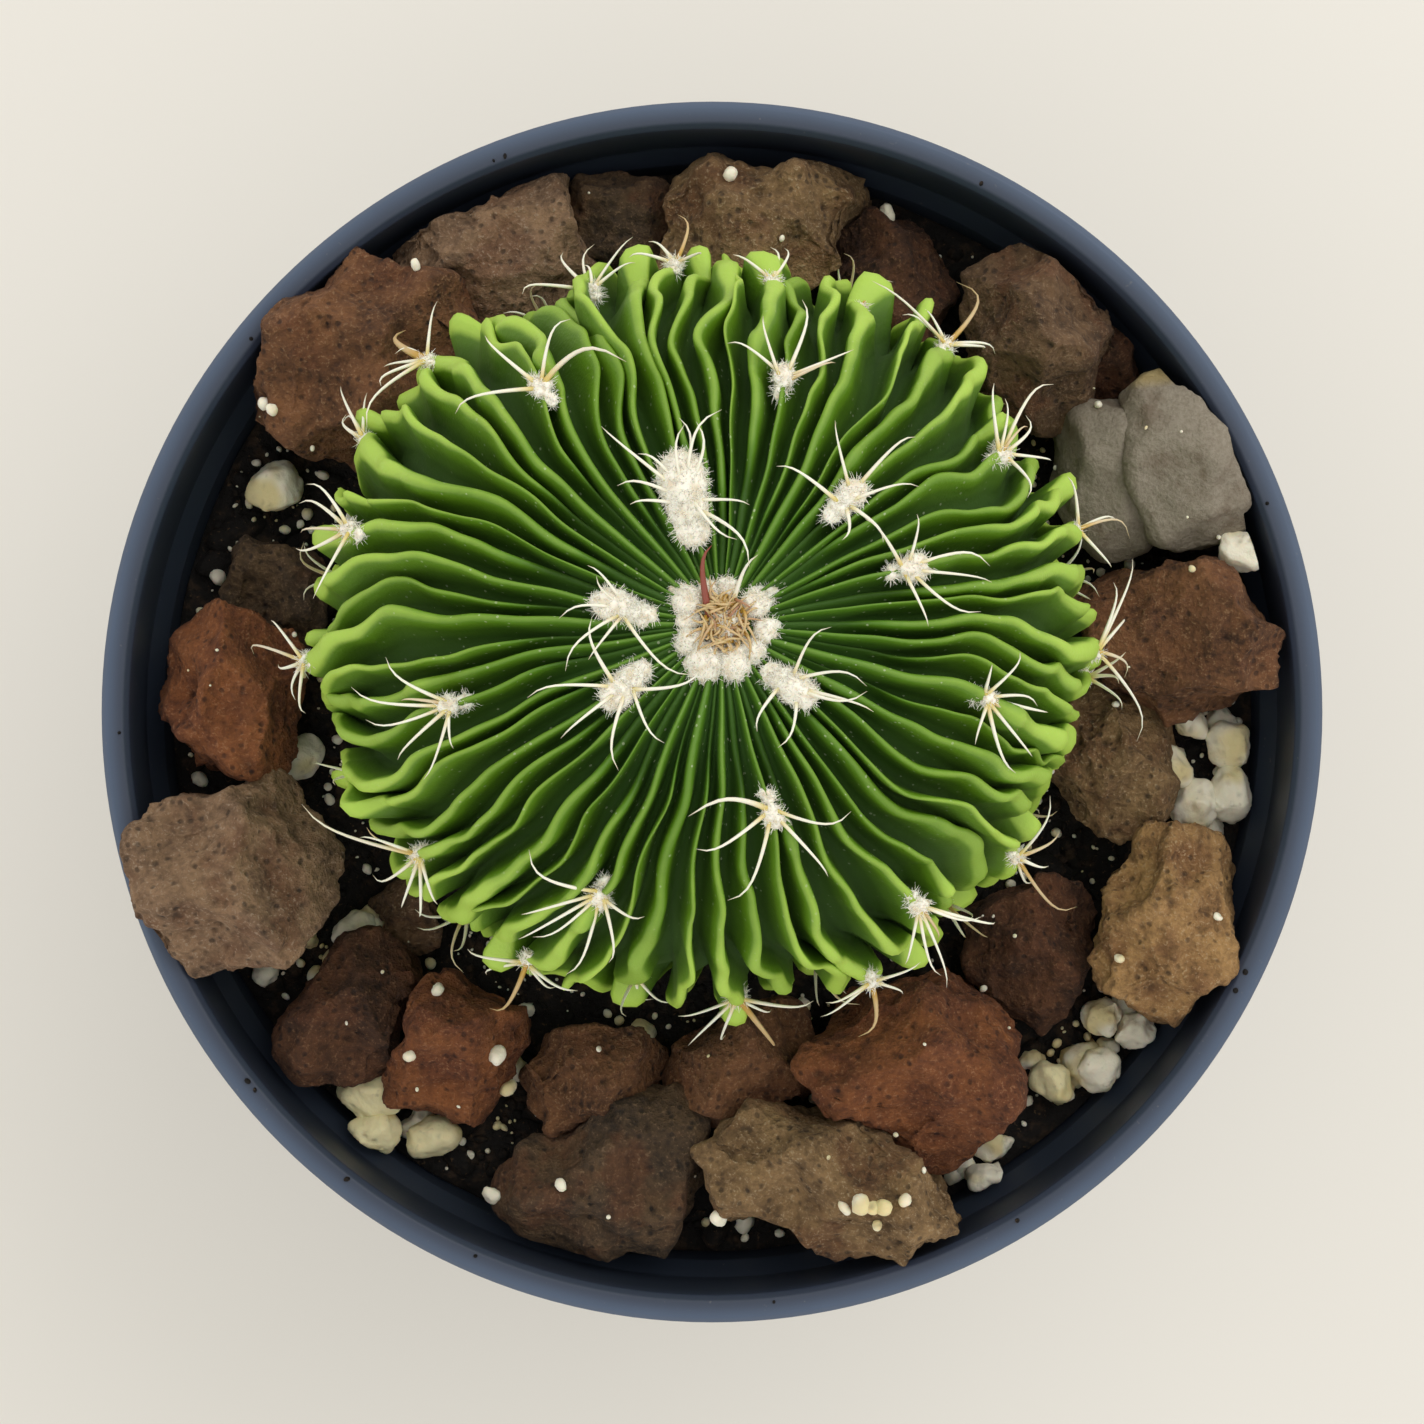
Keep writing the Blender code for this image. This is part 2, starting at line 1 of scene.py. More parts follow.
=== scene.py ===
"""Potted round cactus, dressed for a portrait.

A squat globe cactus with many thin wavy ribs grows in a round plastic pot.
Loose lava stones, two worn pebbles and grains of perlite lie on the dark
growing mix round it.  Sizes are in millimetres unless a name says otherwise,
and meshes are made in metres.
"""

import ast
import logging
import math
import random
from dataclasses import dataclass, field
from enum import Enum
from typing import ClassVar

import bmesh
import bpy
import numpy as np
from bpy.types import Material, Mesh, Node, NodeSocket, NodeTree, Object
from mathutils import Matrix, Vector
from mathutils.bvhtree import BVHTree


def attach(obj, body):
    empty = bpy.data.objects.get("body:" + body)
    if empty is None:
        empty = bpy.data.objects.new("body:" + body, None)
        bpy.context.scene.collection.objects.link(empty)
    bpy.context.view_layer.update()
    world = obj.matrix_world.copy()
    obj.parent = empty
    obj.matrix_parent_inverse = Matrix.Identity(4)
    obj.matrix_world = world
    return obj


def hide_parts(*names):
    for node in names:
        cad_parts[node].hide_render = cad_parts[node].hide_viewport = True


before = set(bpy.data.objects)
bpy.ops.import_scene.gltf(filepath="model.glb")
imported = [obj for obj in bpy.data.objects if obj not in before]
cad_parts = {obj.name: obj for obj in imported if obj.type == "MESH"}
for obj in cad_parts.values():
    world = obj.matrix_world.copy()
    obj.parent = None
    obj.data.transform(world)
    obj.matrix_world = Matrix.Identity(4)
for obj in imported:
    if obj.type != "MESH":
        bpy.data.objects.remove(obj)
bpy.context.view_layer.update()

MM = 0.001
STEM_CENTRE = (-0.8, 6.5)
GOLDEN_ANGLE = 2.39996
LOG = logging.getLogger("potted_cactus")

# ---------------------------------------------------------------------------
# Small tools for trees of nodes
# ---------------------------------------------------------------------------

OPERATORS = {ast.Add: "ADD", ast.Sub: "SUBTRACT", ast.Mult: "MULTIPLY",
             ast.Div: "DIVIDE", ast.Pow: "POWER", ast.Mod: "FLOORED_MODULO"}
FUNCTIONS = {"sin": "SINE", "cos": "COSINE", "size": "ABSOLUTE", "least": "MINIMUM",
             "most": "MAXIMUM", "floor": "FLOOR", "root": "SQRT", "exp": "EXPONENT",
             "sign": "SIGN", "above": "GREATER_THAN", "bearing": "ARCTAN2"}


def add_node(tree: NodeTree, kind: str, settings: dict | None = None,
             inputs: dict | None = None) -> Node:
    """Adds a node with its settings and what feeds it.

    Args:
        tree: The tree the node goes in.
        kind: The node's type name.
        settings: Property names with their values.
        inputs: Socket names or numbers with a value, a socket or a node.

    Returns:
        The new node.
    """
    node = tree.nodes.new(kind)
    for name, value in (settings or {}).items():
        setattr(node, name, value)
    for name, value in (inputs or {}).items():
        if isinstance(value, Node):
            value = next(socket for socket in value.outputs if socket.enabled)
        if isinstance(value, NodeSocket):
            tree.links.new(value, node.inputs[name])
        else:
            node.inputs[name].default_value = value
    return node


def formula(tree: NodeTree, text: str,
            **terms: NodeSocket | float) -> NodeSocket:
    """Turns a line of arithmetic into maths nodes.

    Args:
        tree: The tree the nodes go in.
        text: The arithmetic, such as "rise * ease(reach / 0.5)".
        terms: What each name in the text stands for, a socket or a number.

    Returns:
        The socket that carries the result.
    """
    def join(operation: str, parts: list) -> NodeSocket:
        """Adds one maths node on its parts."""
        kind = {"operation": operation}
        return add_node(tree, "ShaderNodeMath", kind, dict(enumerate(parts))).outputs[0]

    def walk(part: ast.AST) -> NodeSocket | float:
        """Turns one part of the text into nodes.

        Args:
            part: A number, a name, a sign, an operation or a call.

        Returns:
            The part's result.
        """
        if isinstance(part, ast.Constant):
            return float(part.value)
        if isinstance(part, ast.Name):
            return terms[part.id]
        if isinstance(part, ast.UnaryOp):
            return join("MULTIPLY", [walk(part.operand), -1.0])
        if isinstance(part, ast.BinOp):
            return join(OPERATORS[type(part.op)], [walk(part.left), walk(part.right)])
        parts = [walk(argument) for argument in part.args]
        if part.func.id == "ease":
            kind = {"interpolation_type": "SMOOTHSTEP"}
            return add_node(tree, "ShaderNodeMapRange", kind, {0: parts[0]}).outputs[0]
        return join(FUNCTIONS[part.func.id], parts)

    return walk(ast.parse(text).body[0].value)


def colour_of(code: str) -> tuple[float, float, float, float]:
    """Turns an sRGB hex code such as "#4f9a1c" into linear colour.

    Args:
        code: The hex code.

    Returns:
        Red, green, blue and alpha, from 0 to 1.
    """
    parts = [int(code[start:start + 2], 16) / 255.0 for start in (1, 3, 5)]
    linear = [part / 12.92 if part <= 0.04045 else ((part + 0.055) / 1.055) ** 2.4
              for part in parts]
    return (*linear, 1.0)


def per_mm(size: float) -> float:
    """Scale of a texture whose features are a given size in millimetres."""
    return 1.0 / (size * MM)


class Tree:
    """A tree of nodes in the making, with named terms for its arithmetic."""

    def __init__(self, tree: NodeTree) -> None:
        """Takes up a tree, with only the angles as terms so far."""
        self.tree = tree
        self.terms: dict[str, NodeSocket | float] = {
            "pi": math.pi, "tau": math.tau, "degree": 0.01745329, "radian": 57.29578}

    def add(self, kind: str, settings: dict | None = None, inputs: dict | None = None) -> Node:
        """Adds a node to the tree, as add_node does."""
        return add_node(self.tree, kind, settings, inputs)

    def sum(self, text: str, **terms: NodeSocket | float) -> NodeSocket:
        """Adds arithmetic, as formula does, on given terms and the tree's own."""
        return formula(self.tree, text, **{**self.terms, **terms})

    def lines(self, **lines: str) -> None:
        """Adds lines of arithmetic; each result is a term for the lines after it.

        Args:
            lines: The arithmetic of each line under the name of its result.
        """
        for name, text in lines.items():
            self.terms[name] = self.sum(text)

    def axes(self, place: Node | NodeSocket) -> dict[str, NodeSocket]:
        """A place's parts as terms called x, y and z, in metres."""
        return dict(zip("xyz", self.add("ShaderNodeSeparateXYZ", None, {0: place}).outputs))


class Recipe(Tree):
    """A Geometry Nodes tree with named inputs and one result."""

    SOCKETS = {float: "NodeSocketFloat", int: "NodeSocketInt"}

    def __init__(self, name: str, **inputs: float | int) -> None:
        """Makes an empty tree.

        Args:
            name: The tree's name.
            inputs: Each named input with its usual value.
        """
        super().__init__(bpy.data.node_groups.new(name, "GeometryNodeTree"))
        face = self.tree.interface
        face.new_socket("Geometry", in_out="INPUT", socket_type="NodeSocketGeometry")
        face.new_socket("Geometry", in_out="OUTPUT", socket_type="NodeSocketGeometry")
        for label, usual in inputs.items():
            socket = face.new_socket(label, in_out="INPUT",
                                     socket_type=self.SOCKETS[type(usual)])
            socket.default_value = usual
        face.new_socket("finish", in_out="INPUT", socket_type="NodeSocketMaterial")
        self.keys = {item.name: item.identifier for item in face.items_tree
                     if item.in_out == "INPUT"}
        self.source = self.tree.nodes.new("NodeGroupInput")
        self.terms.update({label: self.source.outputs[label] for label in inputs})

    def __getitem__(self, label: str) -> NodeSocket:
        """The socket of a named input."""
        return self.source.outputs[label]

    def here(self) -> dict[str, NodeSocket]:
        """The points' own places as terms called x, y and z, in metres."""
        return self.axes(self.add("GeometryNodeInputPosition"))

    def read(self, name: str, kind: str = "FLOAT") -> NodeSocket:
        """The value that points carry under a name."""
        node = self.add("GeometryNodeInputNamedAttribute", {"data_type": kind}, {"Name": name})
        return next(socket for socket in node.outputs if socket.enabled)

    def chance(self, low: float | Vector, high: float | Vector, seed: int) -> Node:
        """A random number, or a random vector, between two limits.

        Args:
            low: The lower limit.
            high: The upper limit.
            seed: What fixes the draw.

        Returns:
            The node that gives a value for each point.
        """
        if isinstance(low, Vector):
            return self.add("FunctionNodeRandomValue", {"data_type": "FLOAT_VECTOR"},
                            {0: low, 1: high, 8: seed})
        return self.add("FunctionNodeRandomValue", {"data_type": "FLOAT"},
                        {2: low, 3: high, 8: seed})

    def tumbled(self, rotation: NodeSocket, tilt: float, seed: int) -> Node:
        """Turns a rotation about its own axis and tips it by up to tilt radians.

        Args:
            rotation: The rotation to start from.
            tilt: How far it tips at most, in radians.
            seed: What fixes the draw.

        Returns:
            The node that gives the new rotation.
        """
        spin = self.chance(Vector((-tilt, -tilt, -math.pi)), Vector((tilt, tilt, math.pi)), seed)
        turn = self.add("FunctionNodeEulerToRotation", None, {0: spin})
        return self.add("FunctionNodeRotateRotation", {"rotation_space": "LOCAL"},
                        {"Rotation": rotation, "Rotate By": turn})

    def grain(self, size: float, detail: float = 1.0) -> NodeSocket:
        """Noise at the points' places, with patches about size millimetres across.

        Args:
            size: Millimetres across a patch.
            detail: How much finer noise is added.

        Returns:
            The socket of the noise, from 0 to 1.
        """
        place = self.add("GeometryNodeInputPosition")
        return self.add("ShaderNodeTexNoise", None,
                        {"Vector": place, "Scale": per_mm(size), "Detail": detail}).outputs[0]

    def pushed(self, geometry: Node, distance: NodeSocket) -> Node:
        """Moves a surface along its own normals by a distance in millimetres.

        Args:
            geometry: The node that gives the surface.
            distance: How far each point moves outwards.

        Returns:
            The node that gives the moved surface.
        """
        shove = self.add("ShaderNodeVectorMath", {"operation": "SCALE"},
                         {0: self.add("GeometryNodeInputNormal"),
                          "Scale": self.sum("d * 0.001", d=distance)})
        return self.add("GeometryNodeSetPosition", None, {"Geometry": geometry, "Offset": shove})

    def keep(self, geometry: Node, name: str, value: NodeSocket) -> Node:
        """Writes a value on every point under a name, for the finish to read."""
        return self.add("GeometryNodeStoreNamedAttribute",
                        {"data_type": "FLOAT", "domain": "POINT"},
                        {"Geometry": geometry, "Name": name, "Value": value})

    def serve(self, geometry: Node) -> "Recipe":
        """Ends the tree: instances made real, smooth faces, finish set.

        Args:
            geometry: The node whose result is the piece.

        Returns:
            The recipe itself.
        """
        real = self.add("GeometryNodeRealizeInstances", None, {"Geometry": geometry})
        smooth = self.add("GeometryNodeSetShadeSmooth", None, {"Geometry": real})
        coat = self.add("GeometryNodeSetMaterial", None,
                        {"Geometry": smooth, "Material": self["finish"]})
        self.add("NodeGroupOutput", None, {"Geometry": coat})
        return self


def cook(name: str, base: Mesh, recipe: Recipe, finish: Material,
         **values: float | int) -> Object:
    """Runs a recipe on a base mesh and keeps the result as a plain mesh.

    Args:
        name: The finished piece's name.
        base: The mesh the recipe starts from.
        recipe: The Geometry Nodes tree.
        finish: The material that the recipe sets.
        values: Values for the recipe's named inputs.

    Returns:
        An object at the origin that holds the finished mesh.
    """
    piece = bpy.data.objects.new(name, base)
    bpy.context.scene.collection.objects.link(piece)
    step = piece.modifiers.new("recipe", "NODES")
    step.node_group = recipe.tree
    step[recipe.keys["finish"]] = finish
    for label, value in values.items():
        step[recipe.keys[label]] = value
    graph = bpy.context.evaluated_depsgraph_get()
    mesh = bpy.data.meshes.new_from_object(
        piece.evaluated_get(graph), preserve_all_data_layers=True, depsgraph=graph)
    piece.modifiers.clear()
    piece.data = mesh
    mesh.name = name
    return piece


def face_out(piece: Object) -> None:
    """Turns the faces of a closed mesh outwards.

    Args:
        piece: The object whose mesh is put right.
    """
    bm = bmesh.new()
    bm.from_mesh(piece.data)
    bmesh.ops.recalc_face_normals(bm, faces=bm.faces[:])
    bm.to_mesh(piece.data)
    bm.free()


def point_mesh(name: str, points: list[Vector], **carried: list) -> Mesh:
    """Makes a mesh of loose points that carry numbers or directions.

    Args:
        name: The mesh's name.
        points: Places in millimetres.
        carried: Names with one float or Vector for each point.

    Returns:
        The mesh, in metres.
    """
    mesh = bpy.data.meshes.new(name)
    mesh.from_pydata([point * MM for point in points], [], [])
    for label, values in carried.items():
        if isinstance(values[0], Vector):
            flat = [axis for value in values for axis in value]
            mesh.attributes.new(label, "FLOAT_VECTOR", "POINT").data.foreach_set("vector", flat)
        else:
            mesh.attributes.new(label, "FLOAT", "POINT").data.foreach_set("value", values)
    return mesh


def outline_mesh(name: str, corners: list[tuple[float, float]],
                 closed: bool) -> Mesh:
    """Makes the outline of a turned shape: radius and height in millimetres.

    Args:
        name: The mesh's name.
        corners: Radius and height of each corner.
        closed: Whether the last corner joins the first.

    Returns:
        The mesh, in metres.
    """
    mesh = bpy.data.meshes.new(name)
    count = len(corners)
    edges = [(step, (step + 1) % count) for step in range(count if closed else count - 1)]
    mesh.from_pydata([(radius * MM, 0.0, height * MM) for radius, height in corners], edges, [])
    return mesh


def merged_copy(*nodes: str) -> Mesh:
    """Copies CAD nodes into one mesh and welds their loose triangles together.

    Args:
        nodes: Names of the CAD nodes.

    Returns:
        One welded mesh.
    """
    bm = bmesh.new()
    for node in nodes:
        bm.from_mesh(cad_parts[node].data)
    bmesh.ops.remove_doubles(bm, verts=bm.verts[:], dist=1e-6)
    mesh = bpy.data.meshes.new(nodes[0] + "_copy")
    bm.to_mesh(mesh)
    bm.free()
    return mesh


def present(piece: Object, slot: str, *nodes: str) -> None:
    """Rides a finished piece on the one body and hides the CAD nodes it replaces.

    Args:
        piece: The finished piece.
        slot: Not used.
        nodes: The CAD nodes it replaces.
    """
    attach(piece, "root")
    if nodes:
        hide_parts(*nodes)
    LOG.info("%s: %d faces", piece.name, len(piece.data.polygons))


# ---------------------------------------------------------------------------
# Finishes
# ---------------------------------------------------------------------------

class Shading(Tree):
    """A material's tree with its Principled shader and a few shared feeds."""

    def __init__(self, name: str, **constants: float | tuple) -> None:
        """Makes the material.

        Args:
            name: The material's name.
            constants: Values set on the shader's own sockets, with spaces in
                their names written as underscores.
        """
        self.material = bpy.data.materials.new(name)
        self.material.use_nodes = True
        super().__init__(self.material.node_tree)
        self.shader = self.tree.nodes["Principled BSDF"]
        for label, value in constants.items():
            self.shader.inputs[label.replace("_", " ")].default_value = value
        self.place = self.add("ShaderNodeTexCoord").outputs["Object"]

    def cloud(self, size: float, detail: float = 2.0) -> NodeSocket:
        """Soft noise whose patches are about size millimetres across."""
        return self.add("ShaderNodeTexNoise", None,
                        {"Vector": self.place, "Scale": per_mm(size), "Detail": detail,
                         "Roughness": 0.6}).outputs[0]

    def coats(self, base: str, *coats: tuple[NodeSocket, str]) -> NodeSocket:
        """Lays coats of colour over one another.

        Args:
            base: Hex code of the colour underneath.
            coats: How much of each coat shows, with its hex code.

        Returns:
            The socket that carries the finished colour.
        """
        colour = colour_of(base)
        for amount, code in coats:
            colour = self.add("ShaderNodeMix", {"data_type": "RGBA"},
                              {0: amount, 6: colour, 7: colour_of(code)}).outputs[2]
        return colour

    def relief(self, height: NodeSocket, depth: float) -> None:
        """Feeds bumps of a depth in millimetres to the shader's normal."""
        bump = self.add("ShaderNodeBump", None,
                        {"Height": height, "Distance": depth * MM, "Strength": 1.0})
        self.tree.links.new(bump.outputs[0], self.shader.inputs["Normal"])

    def feed(self, **sockets: NodeSocket) -> Material:
        """Links sockets to the shader and returns the material."""
        for label, socket in sockets.items():
            self.tree.links.new(socket, self.shader.inputs[label.replace("_", " ")])
        return self.material

    def carried(self, name: str) -> NodeSocket:
        """A number that the piece's points carry."""
        return self.add("ShaderNodeAttribute", {"attribute_name": name}).outputs["Fac"]


@dataclass(frozen=True)
class MouldedPolypropylene:
    """Injection-moulded polypropylene: an even satin slate blue with a very
    fine pebble, slightly dusty; the lip is painted paler as painted light, with a
    painted highlight along its outer top."""

    body: str = "#262e3b"
    # the lip colour is painted light on the rolled lip, and the colour below it is a painted
    # highlight along the lip's outer top
    lip: str = "#2d3647"
    rub: str = "#47566c"
    dust: str = "#8a8579"

    def make(self) -> Material:
        """Builds the pot's material.

        Returns:
            The material.
        """
        paint = Shading("moulded_polypropylene", IOR=1.49)
        patches = paint.cloud(14.0, 3.0)
        paint.terms.update(paint.axes(paint.place), lip_at=0.0872, handled_at=0.0506)
        # the whole lip is painted a shade paler: painted light on the rolled lip
        worn = paint.sum("ease((z - lip_at) / 0.0018)")
        # a paler band along the lip's outer top is a painted highlight
        lip_highlight = paint.sum("w * ease((root(x * x + y * y) - handled_at) / 0.0016)"
                           " * (0.55 + 0.7 * p)", w=worn, p=patches)
        specks = paint.sum("ease((n - 0.7) / 0.1) * 0.2", n=paint.cloud(0.7, 2.0))
        colour = paint.coats(self.body, (worn, self.lip), (lip_highlight, self.rub), (specks, self.dust))
        paint.relief(paint.cloud(0.5, 1.0), 0.012)
        rough = paint.sum("0.42 + 0.16 * p", p=patches)
        return paint.feed(Base_Color=colour, Roughness=rough)


@dataclass(frozen=True)
class WaxyCactusSkin:
    """Living cactus skin under a thin coat of wax: mid green on the flanks,
    yellow green along the rib crests, with painted shade that darkens it to
    nearly black green in the folds; the bright crest line is partly a painted highlight."""

    # the fold colour is painted shade, nearly black green down in each fold
    fold_shade: str = "#2c4c0a"
    flank: str = "#46690f"
    shoulder: str = "#5c8412"
    crest: str = "#a9c94e"
    crown: str = "#3b6a22"
    scale: str = "#c9d2b0"

    def make(self) -> Material:
        """Builds the stem's material.

        Returns:
            The material.
        """
        skin = Shading("waxy_cactus_skin", IOR=1.45, Subsurface_Weight=0.12,
                       Subsurface_Radius=(0.5, 1.0, 0.2), Subsurface_Scale=0.0012)
        ridge = skin.carried("ridge")
        fall = skin.carried("fall")
        patches = skin.cloud(5.0, 3.0)
        lifted = skin.sum("ridge + 0.10 * (p - 0.5)", ridge=ridge, p=patches)
        edge = skin.sum("ease((r - 0.92 + 0.16 * ease((f - 0.2) / 0.3)) / 0.14)"
                        " * (0.5 + 0.5 * ease((f - 0.08) / 0.3)) * (0.35 + 0.65 * v)",
                        r=lifted, f=fall, v=skin.carried("vigour"))
        dim = skin.sum("0.45 * (1 - ease((f - 0.03) / 0.22))", f=fall)
        flecks = skin.add("ShaderNodeTexVoronoi", None,
                          {"Vector": skin.place, "Scale": per_mm(0.9)}).outputs[0]
        dots = skin.sum("above(0.13, d) * (1 - ease((f - 0.1) / 0.3)) * 0.5", d=flecks, f=fall)
        # painted shade: the colour darkens from crest to fold; the bright crest line is partly the
        # skin's own yellow green and partly a painted highlight
        colour = skin.coats(
            self.fold_shade, (skin.sum("ease(r / 0.55)", r=lifted), self.flank),
            (skin.sum("ease((r - 0.5) / 0.42)", r=lifted), self.shoulder),
            (edge, self.crest), (dim, self.crown), (dots, self.scale))
        grain = skin.sum("a + 0.5 * b", a=skin.cloud(0.7, 2.0), b=skin.cloud(0.22, 1.0))
        skin.relief(grain, 0.05)
        rough = skin.sum("0.40 + 0.2 * p + 0.35 * (1 - ease(r / 0.8))", p=patches, r=ridge)
        return skin.feed(Base_Color=colour, Roughness=rough)


@dataclass(frozen=True)
class PlantWool:
    """Matted plant hair: chalky white, faintly cream at its roots."""

    tip: str = "#fcf7e8"
    root: str = "#e6dac0"

    def make(self) -> Material:
        """Builds the wool's material.

        Returns:
            The material.
        """
        wool = Shading("plant_wool", Roughness=0.95, IOR=1.45, Sheen_Weight=0.3,
                       Sheen_Roughness=0.5, Subsurface_Weight=0.1, Subsurface_Scale=0.0005)
        spots = wool.cloud(0.8, 2.0)
        amount = wool.sum("ease((a + 0.6 * (s - 0.5)) / 0.7)", a=wool.carried("along"), s=spots)
        return wool.feed(Base_Color=wool.coats(self.root, (amount, self.tip)))


@dataclass(frozen=True)
class SpineHorn:
    """Dry spine horn: ivory, flushed yellow at the root and browned at the
    point, with some whole spines grown amber."""

    ivory: str = "#f7f2df"
    root: str = "#dcc76c"
    amber: str = "#bb9130"
    point: str = "#b79a6c"
    young: str = "#8d4636"

    def make(self) -> Material:
        """Builds the spines' material.

        Returns:
            The material.
        """
        horn = Shading("spine_horn", Roughness=0.42, IOR=1.54, Subsurface_Weight=0.1,
                       Subsurface_Scale=0.0006)
        along, tint = horn.carried("along"), horn.carried("tint")
        aged = horn.sum("least(1.25 * t, 1) * (1 - 0.25 * ease(a / 0.4))", t=tint, a=along)
        return horn.feed(Base_Color=horn.coats(
            self.root, (horn.sum("ease(a / 0.35)", a=along), self.ivory), (aged, self.amber),
            (horn.sum("0.5 * ease((a - 0.8) / 0.2)", a=along), self.point),
            (horn.sum("ease(t - 2)", t=tint), self.young)))


class LavaTone(Enum):
    """Colours that lava gravel comes in: the dark of its painted shade, its body, bright and dust.
    """

    TAN = ("#302316", "#785c3a", "#9d7d53", "#c2ac88")
    SAND = ("#38271a", "#966f43", "#bc925b", "#cdb188")
    UMBER = ("#271b12", "#5f462e", "#7e6042", "#a58c6e")
    MAROON = ("#1c0f07", "#482d1b", "#653f25", "#8f6a4b")
    RUST = ("#23130b", "#664226", "#875a37", "#ac8762")
    RED = ("#271006", "#713f22", "#93582e", "#b0805a")
    CHOCOLATE = ("#19120c", "#4a3927", "#664e34", "#8c7154")
    MAUVE = ("#30241a", "#82654b", "#a18060", "#bba58c")


@dataclass(frozen=True)
class LavaRock:
    """Crushed porous lava: dull, full of pits, with painted shade in its fine
    grain, hollows and pores, and mineral grains and dust on what sticks out."""

    tone: LavaTone
    iron: str = "#6a3d22"

    def make(self) -> Material:
        """Builds one tone of lava.

        Returns:
            The material.
        """
        dark, body, bright, dust = self.tone.value
        rock = Shading("porous_lava_" + self.tone.name.lower(), Roughness=0.95, IOR=1.5)
        patches = rock.cloud(4.5, 5.0)
        zones = rock.cloud(7.0, 3.0)
        grit = rock.cloud(0.6, 6.0)
        fine = rock.cloud(0.25, 3.0)
        pores = rock.add("ShaderNodeTexVoronoi", None,
                         {"Vector": rock.place, "Scale": per_mm(0.85)})
        luck = rock.add("ShaderNodeSeparateColor", None, {0: pores.outputs["Color"]}).outputs[0]
        pore = rock.sum("(1 - ease((d - 0.12) / 0.26)) * above(c, 0.55)",
                        d=pores.outputs["Distance"], c=luck)
        # painted shade in the fine grain, standing in for the small shadows of the rough surface
        shade = rock.sum("ease((0.57 - g) / 0.26) * (0.34 + 0.4 * ease((0.5 - p) / 0.2))",
                         g=grit, p=patches)
        chalk = rock.sum("ease((f - 0.5) / 0.16) * 0.6 * ease((g - 0.44) / 0.16)",
                         f=fine, g=grit)
        # painted shade in the hollows and the pores
        pits = rock.sum("least(0.75 * ease(h) + 0.6 * q, 0.9)", h=rock.carried("hollow"), q=pore)
        colour = rock.coats(
            body, (rock.sum("ease((p - 0.36) / 0.28)", p=patches), bright),
            (rock.sum("0.5 * ease((z - 0.5) / 0.14)", z=zones), self.iron),
            (shade, dark), (chalk, dust), (pits, dark))
        rock.relief(rock.sum("g + 0.35 * f - 0.35 * q", g=grit, f=fine, q=pore), 0.9)
        return rock.feed(Base_Color=colour)


@dataclass(frozen=True)
class WornPebble:
    """Water-worn grey stone: close and smooth, with brown stains and a
    yellow streak."""

    grey: str = "#766b58"
    pale: str = "#938a7a"
    stain: str = "#5a4632"
    streak: str = "#a08a48"

    def make(self) -> Material:
        """Builds the pebbles' material.

        Returns:
            The material.
        """
        stone = Shading("worn_grey_pebble", IOR=1.52)
        patches = stone.cloud(5.0, 4.0)
        grit = stone.cloud(0.35, 4.0)
        wave = stone.add("ShaderNodeTexWave", {"bands_direction": "Y"},
                         {"Vector": stone.place, "Scale": per_mm(60.0), "Distortion": 3.0,
                          "Detail": 2.0})
        colour = stone.coats(
            self.grey, (stone.sum("0.25 + 0.6 * ease((g - 0.3) / 0.4)", g=grit), self.pale),
            (stone.sum("ease((p - 0.5) / 0.2) * 0.6", p=patches), self.stain),
            (stone.sum("ease((w - 0.93) / 0.07) * 0.6", w=wave.outputs[1]), self.streak))
        stone.relief(stone.sum("g + 2 * p", g=grit, p=patches), 0.25)
        return stone.feed(Base_Color=colour, Roughness=stone.sum("0.6 + 0.25 * g", g=grit))


@dataclass(frozen=True)
class ExpandedPerlite:
    """Popped volcanic glass: chalk white, frothy, soiled in places, with painted shade in its
    hollows.
    """

    name: str = "expanded_perlite"
    white: str = "#f6f1e2"
    cream: str = "#dfcf98"
    # the soil colour is both real soiling and the painted shade in the hollows
    soil: str = "#857a62"

    def make(self) -> Material:
        """Builds the perlite's material.

        Returns:
            The material.
        """
        froth = Shading(self.name, Roughness=0.9, IOR=1.5, Subsurface_Weight=0.15,
                        Subsurface_Scale=0.0008)
        yellowed = froth.sum("0.25 + 0.7 * ease((p - 0.5) / 0.16)", p=froth.cloud(5.0, 1.0))
        grime = froth.sum("ease((g - 0.58) / 0.2) * 0.5", g=froth.cloud(1.1, 3.0))
        # painted shade: the hollows are darkened with the soil colour
        sunk = froth.sum("0.5 * h", h=froth.carried("hollow"))
        colour = froth.coats(self.white, (yellowed, self.cream), (grime, self.soil),
                             (sunk, self.soil))
        froth.relief(froth.cloud(0.35, 2.0), 0.08)
        return froth.feed(Base_Color=colour)


@dataclass(frozen=True)
class PottingMix:
    """Damp peat and bark: almost black, with a few brown fibres."""

    peat: str = "#100c09"
    bark: str = "#33261a"
    fibre: str = "#5c4730"

    def make(self) -> Material:
        """Builds the growing mix's material.

        Returns:
            The material.
        """
        mix = Shading("damp_potting_mix", IOR=1.4, Roughness=0.85)
        colour = mix.coats(
            self.peat, (mix.sum("ease((p - 0.5) / 0.18)", p=mix.cloud(1.8, 3.0)), self.bark),
            (mix.sum("ease((f - 0.64) / 0.1) * 0.7", f=mix.cloud(0.5, 2.0)), self.fibre))
        mix.relief(mix.cloud(0.5, 3.0), 0.35)
        return mix.feed(Base_Color=colour)


@dataclass(frozen=True)
class MattPaint:
    """Matt emulsion on a board: an even warm off-white."""

    colour: str = "#e8e4db"
    shade: str = "#dcd8cf"

    def make(self) -> Material:
        """Builds the floor's material.

        Returns:
            The material.
        """
        paint = Shading("matt_emulsion", Roughness=1.0, IOR=1.3, Specular_IOR_Level=0.1)
        amount = paint.sum("0.02 * c", c=paint.cloud(60.0, 1.0))
        return paint.feed(Base_Color=paint.coats(self.colour, (amount, self.shade)))


